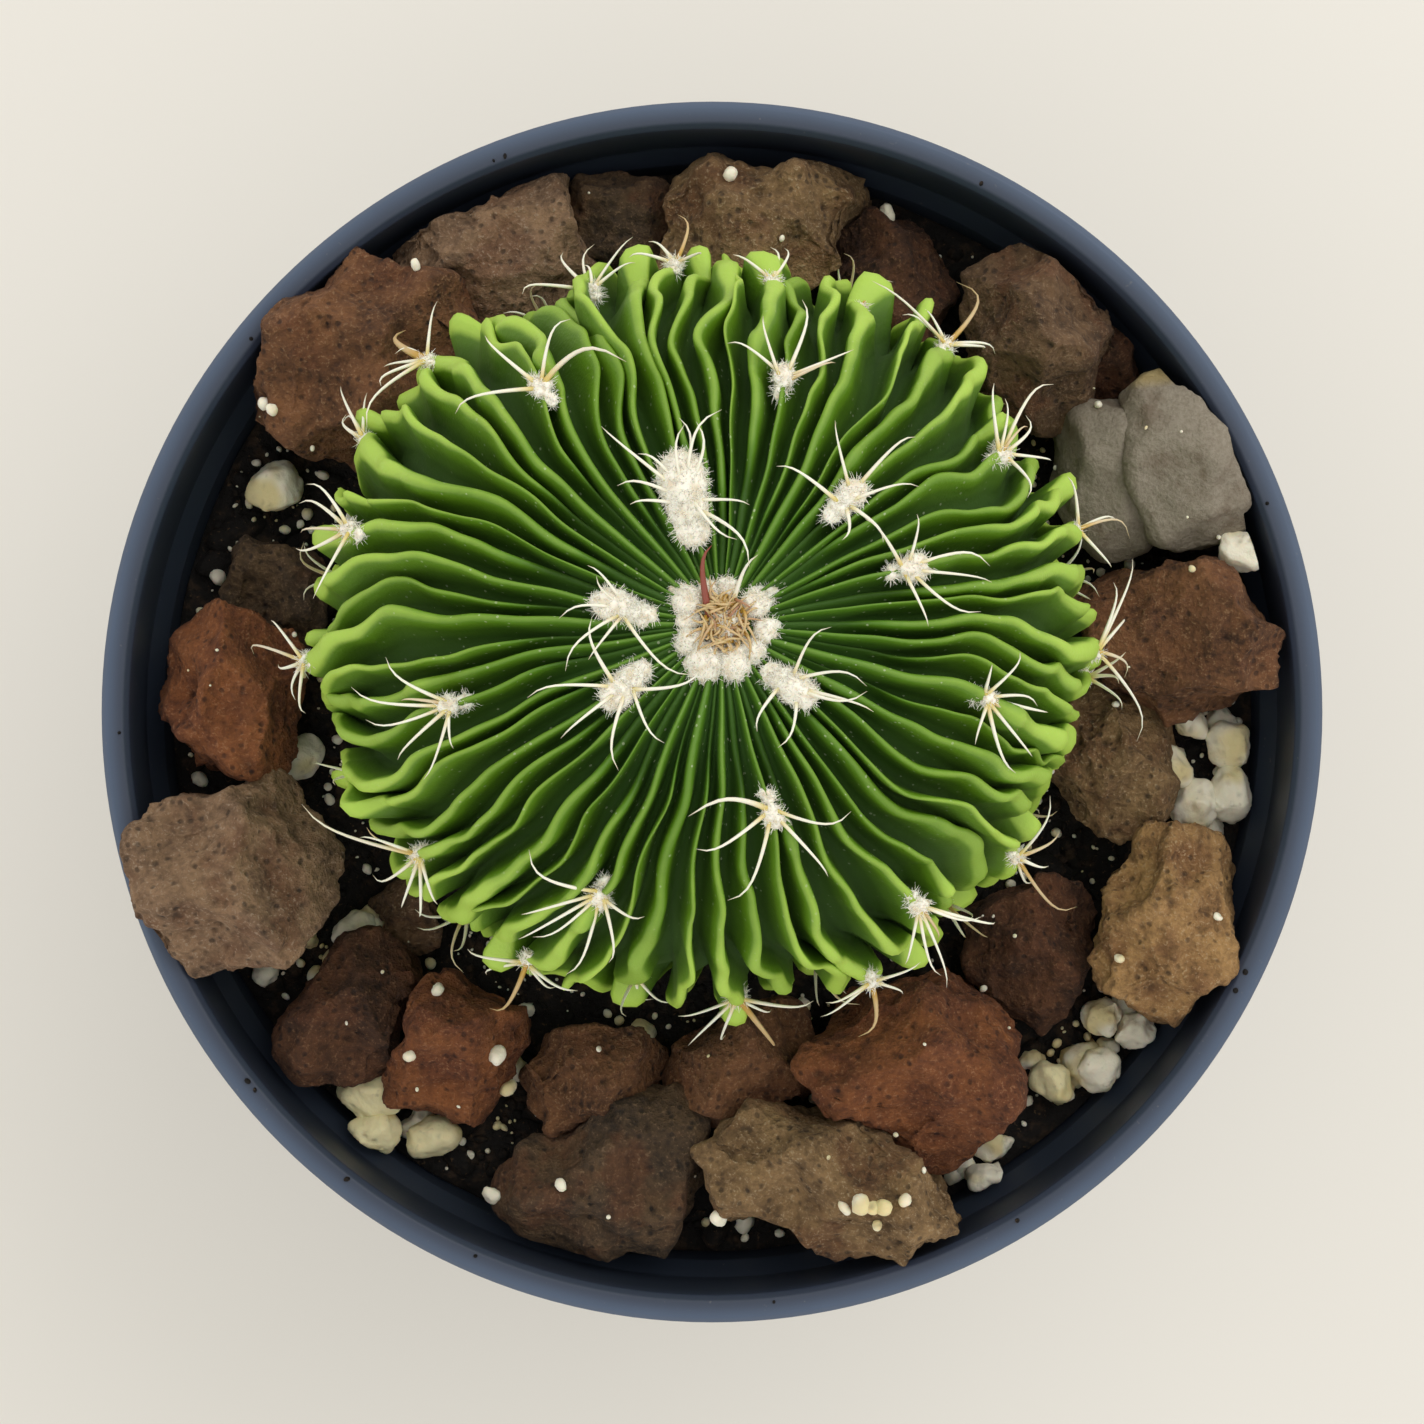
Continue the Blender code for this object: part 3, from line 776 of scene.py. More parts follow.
# ---------------------------------------------------------------------------
# The plant
# ---------------------------------------------------------------------------

@dataclass
class Areole:
    """One woolly cushion on a rib, with the spines that grow from it.

    bearing runs round the stem and fall runs down from the growing point,
    in degrees.  Each spine is (bearing seen from above, length seen from
    above, how amber it is, how much thicker than usual, how far it curls).
    """

    bearing: float
    fall: float
    wool: float
    spines: list[tuple[float, ...]]
    seat: Vector = field(default_factory=Vector)
    outward: Vector = field(default_factory=Vector)
    upward: Vector = field(default_factory=Vector)


AREOLES = [
    Areole(99, 17, 1.75, [(145, 9), (155, 5.5), (172, 4.5), (90, 7.5), (75, 5), (60, 5.5),
                          (0, 5), (-20, 6.5), (-60, 6), (105, 6.5), (125, 5)]),
    Areole(159, 11, 1.25, [(165, 5), (125, 4.5), (-155, 6.5), (-130, 5), (-60, 8), (150, 3.5)]),
    Areole(226, 13, 1.15, [(125, 6), (175, 7.5), (-2, 6.5), (-140, 6.5), (-112, 7), (-75, 5.5)]),
    Areole(329, 11, 1.15, [(75, 5.5), (20, 6), (-10, 6.5), (-130, 4.5), (-92, 4.5), (-25, 5.5)]),
    Areole(45, 24, 1.05, [(140, 6), (105, 6), (52, 7.5), (25, 6.5), (-30, 4.5), (-75, 3)]),
    Areole(13, 27, 0.9, [(120, 5), (70, 4.5), (25, 7), (-5, 7.5), (-45, 6.5), (-65, 5)]),
    Areole(73, 39, 0.8, [(135, 5.5), (110, 6), (65, 7.5), (22, 6.5), (28, 5, 0.5)]),
    Areole(128, 43, 0.75, [(85, 6.5, 0.05, 1.1, 0.1), (56, 6.6, 0.15, 1.5, 0.35),
                           (140, 7), (-176, 8, 0.05, 1.2, -0.05)]),
    Areole(193, 39, 0.75, [(160, 6.5), (180, 8), (-155, 7), (-138, 7), (-105, 6.5),
                           (-90, 3.5), (170, 4.5, 0.5)]),
    Areole(289, 26, 0.85, [(152, 4.8, 0.1, 1.3, -0.3), (-25, 6.5), (-45, 7.5), (-98, 8.5),
                           (-140, 7)]),
    Areole(250, 45, 0.75, [(175, 7), (-162, 7.5), (-150, 8.5), (-132, 6.5), (-100, 7),
                           (-72, 6.5), (-40, 4)]),
    Areole(343, 43, 0.7, [(75, 2.5), (38, 5), (8, 4.5), (-10, 5.5), (-50, 7), (-80, 6.5),
                          (-115, 3.5), (-30, 4, 0.5)]),
    Areole(310, 58, 0.7, [(-15, 8.5), (-25, 5.5), (-65, 8), (-80, 7), (-100, 5.5),
                          (-50, 4, 0.7)]),
    Areole(32, 61, 0.75, [(100, 6), (75, 5), (70, 8.5), (35, 5), (-5, 5), (-40, 4.5),
                          (55, 4, 0.6)]),
    Areole(160, 64, 0.75, [(120, 6), (135, 5.5), (-150, 5), (-115, 5.5), (175, 5, 0.4)]),
    Areole(216, 67, 0.7, [(170, 10.5, 0.2), (160, 5.5), (-135, 6), (-112, 6), (-90, 6.5),
                          (-75, 4.5), (165, 5, 0.7)]),
    Areole(275, 84, 0.8, [(-135, 6.5), (-112, 6.5), (-55, 8, 0.8, 1.7), (-10, 6.5), (-35, 4),
                          (-160, 5)]),
    Areole(295, 80, 0.6, [(-70, 5.5, 0.9, 1.3), (15, 4), (-15, 3.5), (-140, 5), (-155, 4)]),
    Areole(242, 80, 0.6, [(175, 5.5), (-170, 5), (-110, 7, 0.9, 1.3), (-40, 4), (-60, 3.5)]),
    Areole(131, 80, 0.6, [(155, 6, 0.85, 1.9), (92, 5.5), (135, 3), (180, 4), (-140, 7.5),
                          (-160, 5.5)]),
    Areole(104, 76, 0.8, [(175, 7), (135, 5.5), (115, 4.5), (62, 6), (45, 4.5), (90, 3)]),
    Areole(92, 76, 0.6, [(65, 5.5, 0.8), (120, 3), (160, 4), (20, 3)]),
    Areole(80, 70, 0.55, [(135, 3.5), (105, 2.5), (70, 3.5), (50, 4)]),
    Areole(52, 80, 0.65, [(45, 9, 0.75, 1.2), (150, 6.5), (132, 4.5), (112, 3.5), (12, 5.5),
                          (3, 5)]),
    Areole(62, 76, 0.4, [(65, 2, 0.9)]),
    Areole(19, 84, 0.5, [(25, 6, 0.6), (30, 4), (90, 4.5), (-45, 4.5)]),
    Areole(0, 84, 0.6, [(60, 9), (66, 6.5), (45, 5.5), (-8, 4.5, 0.4), (-42, 9.5)]),
    Areole(326, 80, 0.55, [(55, 5), (15, 4, 0.6), (-30, 3), (-57, 8.5, 0.7), (-75, 3.5)]),
    Areole(181, 80, 0.6, [(158, 8, 0.3), (130, 5.5), (-160, 3), (-92, 5), (-130, 3)]),
    Areole(147, 84, 0.5, [(120, 6), (118, 4), (95, 4), (155, 3.5)]),
    Areole(206, 92, 0.5, [(165, 4), (-170, 3), (150, 3)]),
    Areole(262, 90, 0.5, [(-120, 4), (-90, 3), (-60, 4)]),
    Areole(352, 92, 0.5, [(-30, 4), (10, 3), (30, 3.5)]),
    Areole(312, 96, 0.5, [(-60, 4), (-20, 3.5), (-40, 5, 0.6)]),
    Areole(228, 104, 0.5, [(-150, 4), (-120, 5, 0.5), (-90, 4), (-170, 4)]),
    Areole(168, 106, 0.5, [(150, 4), (170, 5, 0.5), (-170, 4)]),
    Areole(70, 104, 0.5, [(50, 4), (70, 5, 0.5), (100, 4), (20, 4)]),
    Areole(112, 108, 0.5, [(100, 4), (130, 5, 0.5), (150, 4)]),
    Areole(10, 108, 0.5, [(0, 4), (20, 5, 0.5), (40, 4), (-30, 4)]),
    Areole(285, 108, 0.5, [(-90, 4), (-70, 5, 0.5), (-50, 4)]),
    Areole(333, 112, 0.5, [(-40, 4), (-20, 5, 0.5), (0, 4)]),
    Areole(40, 112, 0.5, [(30, 4), (50, 5, 0.5), (70, 4)]),
]


@dataclass
class RibbedStem:
    """The body of the plant: a squat globe gathered into thin wavy ribs."""

    # the fall of an areole that a rib doesn't have, far from any that it does
    NOWHERE: ClassVar[float] = -900.0

    ribs: int = 64
    steps_across_rib: int = 10
    steps_down: int = 140
    centre: tuple[float, float] = STEM_CENTRE
    half_width: float = 32.6
    half_length: float = 31.4
    widest: float = 98.0
    rise: float = 24.0
    drop: float = 24.5
    fullness: float = 2.3
    crown_offset: tuple[float, float] = (1.5, 0.4)
    crown_dip: float = 3.0
    crown_dip_radius: float = 7.0
    rib_depth: float = 4.0
    tilt: float = 0.62
    # (degrees, waves round, slant down, start) of the swings that neighbours share
    swings: tuple[tuple[float, ...], ...] = ((3.0, 3, 0.05, 0.6), (1.6, 7, -0.09, 0.0))
    # (degrees, waves round, start) of how ribs crowd their neighbours
    crowds: tuple[tuple[float, ...], ...] = ((0.69, 23, 1.3), (0.52, 37, 0.4))
    # (bearing, fall, spread in mm, sideways lean in mm) of leaning patches
    leans: tuple[tuple[float, ...], ...] = (
        (122, 50, 9.0, -1.9), (70, 42, 8.0, 1.0), (95, 62, 7.0, -1.0),
        (205, 60, 10.0, -0.6), (300, 62, 9.0, 0.8), (262, 55, 8.0, 0.8))
    # thickness and depth across half a rib, from its crest to the fold
    flank: tuple[tuple[float, float], ...] = (
        (0.0, 0.0), (0.2, 0.22), (0.4, 0.33), (0.6, 0.40), (0.8, 0.54), (1.0, 1.0))
    slope: tuple[tuple[float, float], ...] = (
        (0.0, 0.0), (0.2, 0.04), (0.4, 0.16), (0.6, 0.42), (0.8, 0.76), (1.0, 1.0))
    piece: Object | None = None

    def skin_point(self, bearing: float, fall: float) -> Vector:
        """Point on the smooth outline over the rib crests.

        Args:
            bearing: Degrees round the stem.
            fall: Degrees down from the growing point.

        Returns:
            The point in millimetres.
        """
        turn, down = math.radians(bearing), math.radians(fall)
        power = 2.0 / self.fullness
        reach = abs(math.sin(down)) ** power
        level = math.copysign(abs(math.cos(down)) ** power, math.cos(down))
        x = self.centre[0] + self.crown_offset[0] * (1 - reach)
        y = self.centre[1] + self.crown_offset[1] * (1 - reach)
        z = self.widest + (self.rise if level > 0 else self.drop) * level
        if level > 0:
            z -= self.crown_dip * math.exp(-(reach * self.half_width / self.crown_dip_radius) ** 2)
        return Vector((x + reach * self.half_width * math.cos(turn),
                       y + reach * self.half_length * math.sin(turn), z))

    def axes_at(self, bearing: float, fall: float) -> tuple[Vector, Vector, Vector]:
        """Outward, upward and sideways directions of the outline at a point.

        Args:
            bearing: Degrees round the stem.
            fall: Degrees down from the growing point.

        Returns:
            Three unit vectors.
        """
        upward = self.skin_point(bearing, fall - 1.5) - self.skin_point(bearing, fall + 1.5)
        sideways = self.skin_point(bearing + 2, fall) - self.skin_point(bearing - 2, fall)
        outward = sideways.cross(upward).normalized()
        upward.normalize()
        return outward, upward, outward.cross(upward).normalized()

    def sway(self, bearing: float, fall: float) -> float:
        """How far the ribs swing sideways at a point, in degrees.

        Args:
            bearing: Degrees round the stem.
            fall: Degrees down from the growing point.

        Returns:
            Degrees sideways.
        """
        turn = math.radians(bearing)
        reach = math.sin(math.radians(min(fall, 90.0)))
        return reach * sum(size * math.sin(waves * turn + slant * fall + start)
                           for size, waves, slant, start in self.swings)

    def crowding(self, turn: float) -> float:
        """How far a rib is crowded round by its neighbours, in degrees."""
        return sum(size * math.sin(waves * turn + start) for size, waves, start in self.crowds)

    def rib_chart(self) -> Mesh:
        """One point for each rib, carrying the falls of its areoles.

        Returns:
            A mesh of loose points.
        """
        places: list[list[float]] = [[] for _ in range(self.ribs)]
        for areole in AREOLES:
            misses = []
            for rib in range(self.ribs):
                start = 360.0 * (rib + 0.5) / self.ribs
                miss = (start + self.sway(start, areole.fall)
                        + self.crowding(math.radians(start)) - areole.bearing)
                misses.append((abs((miss + 180) % 360 - 180), rib))
            places[min(misses)[1]].append(areole.fall)
        firsts, seconds = ([falls[turn] if len(falls) > turn else self.NOWHERE
                            for falls in places] for turn in (0, 1))
        return point_mesh("rib_chart", [Vector((rib, 0, 0)) for rib in range(self.ribs)],
                          first=firsts, second=seconds)

    def recipe(self) -> Recipe:
        """Builds the tree that gathers a grid into the ribbed globe.

        Returns:
            The recipe, which reads the rib chart.
        """
        r = Recipe("ribbed_globe", ribs=64, columns=641, rows=140, half_width=30.0,
                   half_length=30.0, widest=90.0, rise=20.0, drop=20.0, power=0.87,
                   centre_x=0.0, centre_y=0.0, crown_x=0.0, crown_y=0.0, dip=3.0,
                   dip_radius=7.0, depth=4.0, tilt=0.6)
        grid = r.add("GeometryNodeMeshGrid", None,
                     {"Size X": 1.0, "Size Y": 1.0, "Vertices X": r["columns"],
                      "Vertices Y": r["rows"]})
        # mm_down is the millimetres of skin in each degree of fall
        r.terms.update(r.here(), mm_down=0.56, radius=32.0, edge_of_rib=0.999)
        r.lines(along="(x + 0.5) * ribs", rib="floor(along + 0.0001)",
                across="along - rib - 0.5", part="least(size(across) * 2, 1)",
                down="pi * (y + 0.5) ** 1.12", fall="radian * down",
                sine="most(sin(down), 0)", reach="sine ** power", plumb="cos(down)",
                level="sign(plumb) * size(plumb) ** power", wide="reach * half_width",
                arc="down * radius")

        # each rib has its own luck, and every other one starts late
        for label, text in (("luck", "rib + 0.37"), ("rank", "rib % ribs + 5.13")):
            r.terms[label] = r.add("ShaderNodeTexWhiteNoise", {"noise_dimensions": "1D"},
                                   {"W": r.sum(text)}).outputs[0]
        r.lines(late="ease((wide - 5 - 9 * luck) / 5)", grown="1 - (rib % 2) * (1 - late)",
                weak="ease((rank - 0.45) / 0.4)")
        r.terms.update(bumps=0.0, nicks=0.0)
        for label in ("first", "second"):
            r.terms["seat"] = r.add("GeometryNodeSampleIndex", {"data_type": "FLOAT"},
                                    {"Geometry": r["Geometry"], "Value": r.read(label),
                                     "Index": r.terms["rib"]})
            r.lines(gap="(fall - seat) * mm_down", bumps="bumps + exp(-((gap - 2.9) / 1.8) ** 2)",
                    nicks="nicks + exp(-(gap / 1.2) ** 2)")

        # section of one rib: fat and rounded near the crown, a thin blade lower
        r.terms.update(slim=self.curve(r, self.flank), inset=self.curve(r, self.slope),
                       girth=self.wave(r, 3.1, 5.0))
        r.lines(crowd="1 - ease(reach / 0.55)", fat="sin(pi / 2 * part)",
                swell="1 + 0.6 * (girth - 0.5) * reach + 0.45 * ease((fall - 45) / 40)"
                      " + 0.6 * bumps",
                mixed="least((slim * swell) * (1 - crowd) + fat * crowd, 1)",
                share="part * above(part, edge_of_rib) + mixed * (1 - above(part, edge_of_rib))",
                deep="depth * ease(reach / 0.5)")

        # sideways waves: some shared by neighbours, some each rib's own
        r.lines(start="360 * (rib + 0.5) / ribs", turn="start * degree",
                mid="sin(least(down, pi / 2))")
        r.terms["sway"] = 0.0
        for size, waves, slant, begin in self.swings:
            r.terms["sway"] = r.sum("sway + mid * m * sin(n * turn + s * fall + p)",
                                    m=size, n=float(waves), s=slant, p=begin)
        near = r.add("ShaderNodeCombineXYZ", None,
                     {0: r.sum("wide * cos(turn)"), 1: r.sum("wide * sin(turn)"),
                      2: r.sum("24 * level")})
        for label, size, detail in (("shared", 11.0, 1.0), ("ripple", 3.6, 0.0)):
            r.terms[label] = r.add("ShaderNodeTexNoise", None,
                                   {"Vector": near, "Scale": 1 / size,
                                    "Detail": detail}).outputs[0]
        r.terms["own"] = self.wave(r, 7.7, 10.0)
        r.lines(facing="cos(turn) / root(cos(turn) ** 2 + 0.2) * tau * wide / ribs * tilt",
                lean="facing + (shared - 0.5) * 3.8 * ease(reach / 0.9)"
                     " + (own - 0.5) * 2.4 * reach ** 2"
                     " + (ripple - 0.5) * 1.1 * ease((reach - 0.35) / 0.6)")
        for bearing, fall, spread, amount in self.leans:
            r.terms["lean"] = r.sum(
                "lean + m * exp(-((wide * ((start - b + 540) % 360 - 180) * 0.01745) ** 2"
                " + ((fall - a) * mm_down) ** 2) / (g * g))",
                m=amount, b=float(bearing), a=float(fall), g=spread)
        r.lines(even="tau / ribs * (rib + 0.5 + 0.5 * share * sign(across))")
        r.terms["round"] = r.terms["sway"]
        for size, waves, begin in self.crowds:
            r.terms["round"] = r.sum("round + m * sin(n * even + p)", m=size, n=float(waves),
                                     p=begin)

        # crest height: low rolls, a hump under each areole and a nick above it
        r.terms["swing"] = self.wave(r, 1.3, 6.0)
        r.lines(roll="(swing - 0.5) * 2.3 * reach ** 2",
                height="roll + reach * (1.5 * bumps - 0.9 * nicks"
                       " - 1.3 * weak * ease((reach - 0.3) / 0.4))",
                sunk="(1 - grown) * deep * 0.7",
                lift="(1 - inset) * (height - sunk) - inset * deep")

        # outline, its outward direction and the finished place
        r.lines(angle="even + degree * round", c="cos(angle)", s="sin(angle)",
                up="above(level, 0)", tall="up * rise + (1 - up) * drop",
                edge="sine ** (2 - power)", out_x="edge * c / half_width",
                out_y="edge * s / half_length",
                out_z="sign(plumb) * size(plumb) ** (2 - power) / tall",
                span="root(out_x * out_x + out_y * out_y + out_z * out_z)",
                slide="lean * (1 - inset) ** 0.8")
        place = r.add("ShaderNodeCombineXYZ", None, {
            0: r.sum("0.001 * (centre_x + crown_x * (1 - reach) + reach * half_width * c"
                     " + out_x / span * lift - s * slide)"),
            1: r.sum("0.001 * (centre_y + crown_y * (1 - reach) + reach * half_length * s"
                     " + out_y / span * lift + c * slide)"),
            2: r.sum("0.001 * (widest + tall * level - up * dip * exp(-(wide / dip_radius) ** 2)"
                     " + out_z / span * lift)")})
        # ridge steers the skin's painted shade and crest highlight, lower on the late, sunk ribs
        marked = grid
        for label, text in (("ridge", "(1 - inset) * (1 - 0.55 * (1 - grown))"),
                            ("vigour", "least(1 - 0.8 * weak + bumps, 1)"),
                            ("fall", "fall / 180")):
            marked = r.keep(marked, label, r.sum(text))
        shaped = r.add("GeometryNodeSetPosition", None, {"Geometry": marked, "Position": place})
        closed = r.add("GeometryNodeMergeByDistance", None,
                       {"Geometry": shaped, "Distance": 1e-6})
        return r.serve(closed)

    @staticmethod
    def curve(r: Recipe, points: tuple[tuple[float, float], ...]) -> NodeSocket:
        """Bends the way across half a rib through a drawn curve.

        Args:
            r: The recipe that makes the stem.
            points: The curve, as value in and value out.

        Returns:
            The socket of the bent value.
        """
        node = r.add("ShaderNodeFloatCurve", None, {"Value": r.terms["part"]})
        line = node.mapping.curves[0]
        line.points[0].location = points[0]
        line.points[-1].location = points[-1]
        for point in points[1:-1]:
            line.points.new(*point)
        node.mapping.update()
        return node.outputs[0]

    @staticmethod
    def wave(r: Recipe, luck: float, length: float) -> NodeSocket:
        """A smooth wave down each rib that its neighbours don't share.

        Args:
            r: The recipe that makes the stem.
            luck: What sets this wave apart from others.
            length: Millimetres from crest to crest.

        Returns:
            The socket of the wave, from 0 to 1.
        """
        spot = r.add("ShaderNodeCombineXYZ", None,
                     {0: r.sum("rib * 9.7 + l", l=luck), 1: r.sum("arc / w", w=length)})
        return r.add("ShaderNodeTexNoise", {"noise_dimensions": "2D"},
                     {"Vector": spot, "Scale": 1.0, "Detail": 0.0}).outputs[0]

    def build(self) -> Object:
        """Makes the stem and dresses it in its skin.

        Returns:
            The finished stem.
        """
        self.piece = cook(
            "ribbed_stem", self.rib_chart(), self.recipe(), WaxyCactusSkin().make(),
            ribs=self.ribs, columns=self.ribs * self.steps_across_rib + 1, rows=self.steps_down,
            half_width=self.half_width, half_length=self.half_length, widest=self.widest,
            rise=self.rise, drop=self.drop, power=2.0 / self.fullness, centre_x=self.centre[0],
            centre_y=self.centre[1], crown_x=self.crown_offset[0], crown_y=self.crown_offset[1],
            dip=self.crown_dip, dip_radius=self.crown_dip_radius, depth=self.rib_depth,
            tilt=self.tilt)
        face_out(self.piece)
        present(self.piece, "cactus_skin", "cactus")
        return self.piece


@dataclass
class Areoles:
    """The woolly cushions and the spines, seated on the finished ribs."""

    stem: RibbedStem
    seed: int = 11
    spine_width: float = 0.18
    # straight share of a spine's length: its bend and hook make up the rest
    straight: float = 0.92
    crown_hairs: int = 90
    crown_spread: float = 2.1
    hair_length: tuple[float, float] = (0.25, 0.8)
    hair_girth: tuple[float, float] = (0.03, 0.055)
    # (across, along, size) of the tufts round the growing point
    crown_lobes: tuple[tuple[float, float, float], ...] = (
        (-2.7, 1.9, 1.15), (-3.5, 2.6, 0.6), (-1.0, 2.6, 0.9), (0.6, 2.9, 0.8),
        (2.9, 1.7, 1.25), (3.9, 2.4, 0.6), (3.6, -0.5, 1.15), (2.6, -2.1, 1.15),
        (1.1, -3.1, 1.35), (-1.3, -3.1, 1.4), (-2.5, -1.3, 1.0), (-2.6, 0.3, 0.9),
        (0.3, 0.0, 1.7))

    def settle(self) -> None:
        """Finds the crest under each areole and the way it faces."""
        # millimetres between looks, above the skin, and lost for each look sideways
        stride, clear, shyness = 0.15, 7.0, 0.02
        mesh = self.stem.piece.data
        corners = np.empty(len(mesh.vertices) * 3, dtype=np.float32)
        mesh.vertices.foreach_get("co", corners)
        tree = BVHTree.FromPolygons([Vector(row) / MM for row in corners.reshape(-1, 3)],
                                    [tuple(face.vertices) for face in mesh.polygons])
        for areole in AREOLES:
            middle = self.stem.skin_point(areole.bearing, areole.fall)
            outward, upward, sideways = self.stem.axes_at(areole.bearing, areole.fall)
            best = (-math.inf, middle)
            for step in range(-12, 13):
                start = middle + sideways * (stride * step) + outward * clear
                hit = tree.ray_cast(start, -outward, 2 * clear)[0]
                if hit is not None:
                    height = (hit - middle).dot(outward) - shyness * abs(step)
                    best = max(best, (height, hit), key=lambda pair: pair[0])
            areole.seat, areole.outward, areole.upward = best[1], outward, upward

    def aim(self, areole: Areole, bearing: float) -> Vector:
        """Direction of a spine that runs a given way seen from above.

        Args:
            areole: The cushion the spine grows from.
            bearing: Degrees round, seen from above.

        Returns:
            A unit vector that stands clear of the ribs.
        """
        sideways = areole.outward.cross(areole.upward)
        best = (math.inf, areole.outward)
        # a spine lifts by about 24 degrees, and must not point at the eye above it
        for lift in range(12, 80, 6):
            for turn in range(0, 360, 6):
                flat = (areole.upward * math.cos(math.radians(turn))
                        + sideways * math.sin(math.radians(turn)))
                way = (flat * math.cos(math.radians(lift))
                       + areole.outward * math.sin(math.radians(lift)))
                plan = math.hypot(way.x, way.y)
                miss = math.degrees(math.atan2(way.y, way.x)) - bearing
                miss = abs((miss + 180) % 360 - 180)
                cost = miss + 0.35 * abs(lift - 24) + 60 * max(0.0, 0.7 - plan)
                if cost < best[0]:
                    best = (cost, way)
        return best[1]

    def spine_points(self) -> Mesh:
        """One point at each spine's root, carrying its shape.

        Returns:
            A mesh of loose points.
        """
        luck = random.Random(self.seed)
        roots, rays, bows, widths, tints = [], [], [], [], []

        def grow(root: Vector, way: Vector, length: float, bend: Vector, width: float,
                 tint: float) -> None:
            """Notes down one spine.

            Args:
                root: Where it starts.
                way: The unit vector along it.
                length: Its length.
                bend: How far its point bends away, as a share of its length.
                width: Half its thickness at the root.
                tint: How amber it is.
            """
            roots.append(root)
            rays.append(way * length * MM)
            bows.append(bend * length * MM)
            widths.append(width * MM)
            tints.append(tint)

        for areole in AREOLES:
            for bearing, length, *extra in areole.spines:
                tint = extra[0] if extra else 0.1 * luck.random() ** 2
                thick = extra[1] if len(extra) > 1 else 1.0
                way = self.aim(areole, bearing)
                plan = max(math.hypot(way.x, way.y), 0.6)
                curl = extra[2] if len(extra) > 2 else luck.uniform(-0.17, 0.17)
                side = way.cross(areole.outward).normalized()
                bend = side * curl - areole.outward * luck.uniform(0.0, 0.12)
                root = (areole.seat + way * 0.3
                        + areole.upward * luck.uniform(-0.3, 0.9) * areole.wool)
                grow(root, way, self.straight * length / plan, bend,
                     self.spine_width * thick * luck.uniform(0.85, 1.1), tint)
        crown = self.stem.skin_point(0.0, 0.0)
        for step in range(self.crown_hairs):
            turn = step * GOLDEN_ANGLE
            spread = self.crown_spread * math.sqrt((step + 0.5) / self.crown_hairs)
            root = crown + Vector((0.3 + math.cos(turn) * spread * 0.75,
                                   0.2 + math.sin(turn) * spread, 1.15))
            way = Vector((luck.uniform(-1.0, 1.0), luck.uniform(-1.0, 1.0), 0.9)).normalized()
            side = Vector((luck.uniform(-0.5, 0.5), luck.uniform(-0.5, 0.5), -0.3))
            grow(root, way, luck.uniform(1.0, 2.2), side, 0.15, luck.uniform(0.9, 2.6))
        grow(crown + Vector((-0.9, 0.6, 1.0)), Vector((-0.2, 0.83, 0.5)).normalized(), 6.4,
             Vector((0.1, 0.0, 0.0)), 0.34, 3.0)
        grow(crown + Vector((0.9, 1.4, 1.0)), Vector((0.2, 0.85, 0.5)).normalized(), 4.6,
             Vector((0.1, 0.0, 0.0)), 0.22, 0.05)
        return point_mesh("spine_roots", roots, root=[root * MM for root in roots], ray=rays,
                          bow=bows, width=widths, tint=tints)

    def spine_recipe(self) -> Recipe:
        """Builds the tree that grows a tapering curved spine at every point.

        Returns:
            The recipe, which reads the spine points.
        """
        r = Recipe("curved_spines", steps=11, sides=6)
        line = r.add("GeometryNodeCurvePrimitiveLine")
        line = r.add("GeometryNodeResampleCurve", None, {"Curve": line, "Count": r["steps"]})
        many = r.add("GeometryNodeInstanceOnPoints", None,
                     {"Points": r["Geometry"], "Instance": line})
        many = r.add("GeometryNodeRealizeInstances", None, {"Geometry": many})
        along = r.add("GeometryNodeSplineParameter").outputs["Factor"]
        bent = r.add("ShaderNodeVectorMath", {"operation": "MULTIPLY_ADD"},
                     {0: r.read("bow", "FLOAT_VECTOR"),
                      1: r.sum("a * a * (1 + 1.3 * a ** 6)", a=along),
                      2: r.read("root", "FLOAT_VECTOR")})
        spot = r.add("ShaderNodeVectorMath", {"operation": "MULTIPLY_ADD"},
                     {0: r.read("ray", "FLOAT_VECTOR"), 1: along, 2: bent})
        placed = r.add("GeometryNodeSetPosition", None, {"Geometry": many, "Position": spot})
        placed = r.keep(placed, "along", along)
        ring = r.add("GeometryNodeCurvePrimitiveCircle", {"mode": "RADIUS"},
                     {"Resolution": r["sides"], "Radius": 1.0})
        oval = r.add("GeometryNodeTransform", None, {"Geometry": ring, "Scale": (1.0, 0.7, 1.0)})
        girth = r.sum("w * (0.06 + 0.94 * (1 - a) ** 0.6)", w=r.read("width"), a=along)
        solid = r.add("GeometryNodeCurveToMesh", None,
                      {"Curve": placed, "Profile Curve": oval, "Scale": girth,
                       "Fill Caps": True})
        return r.serve(solid)

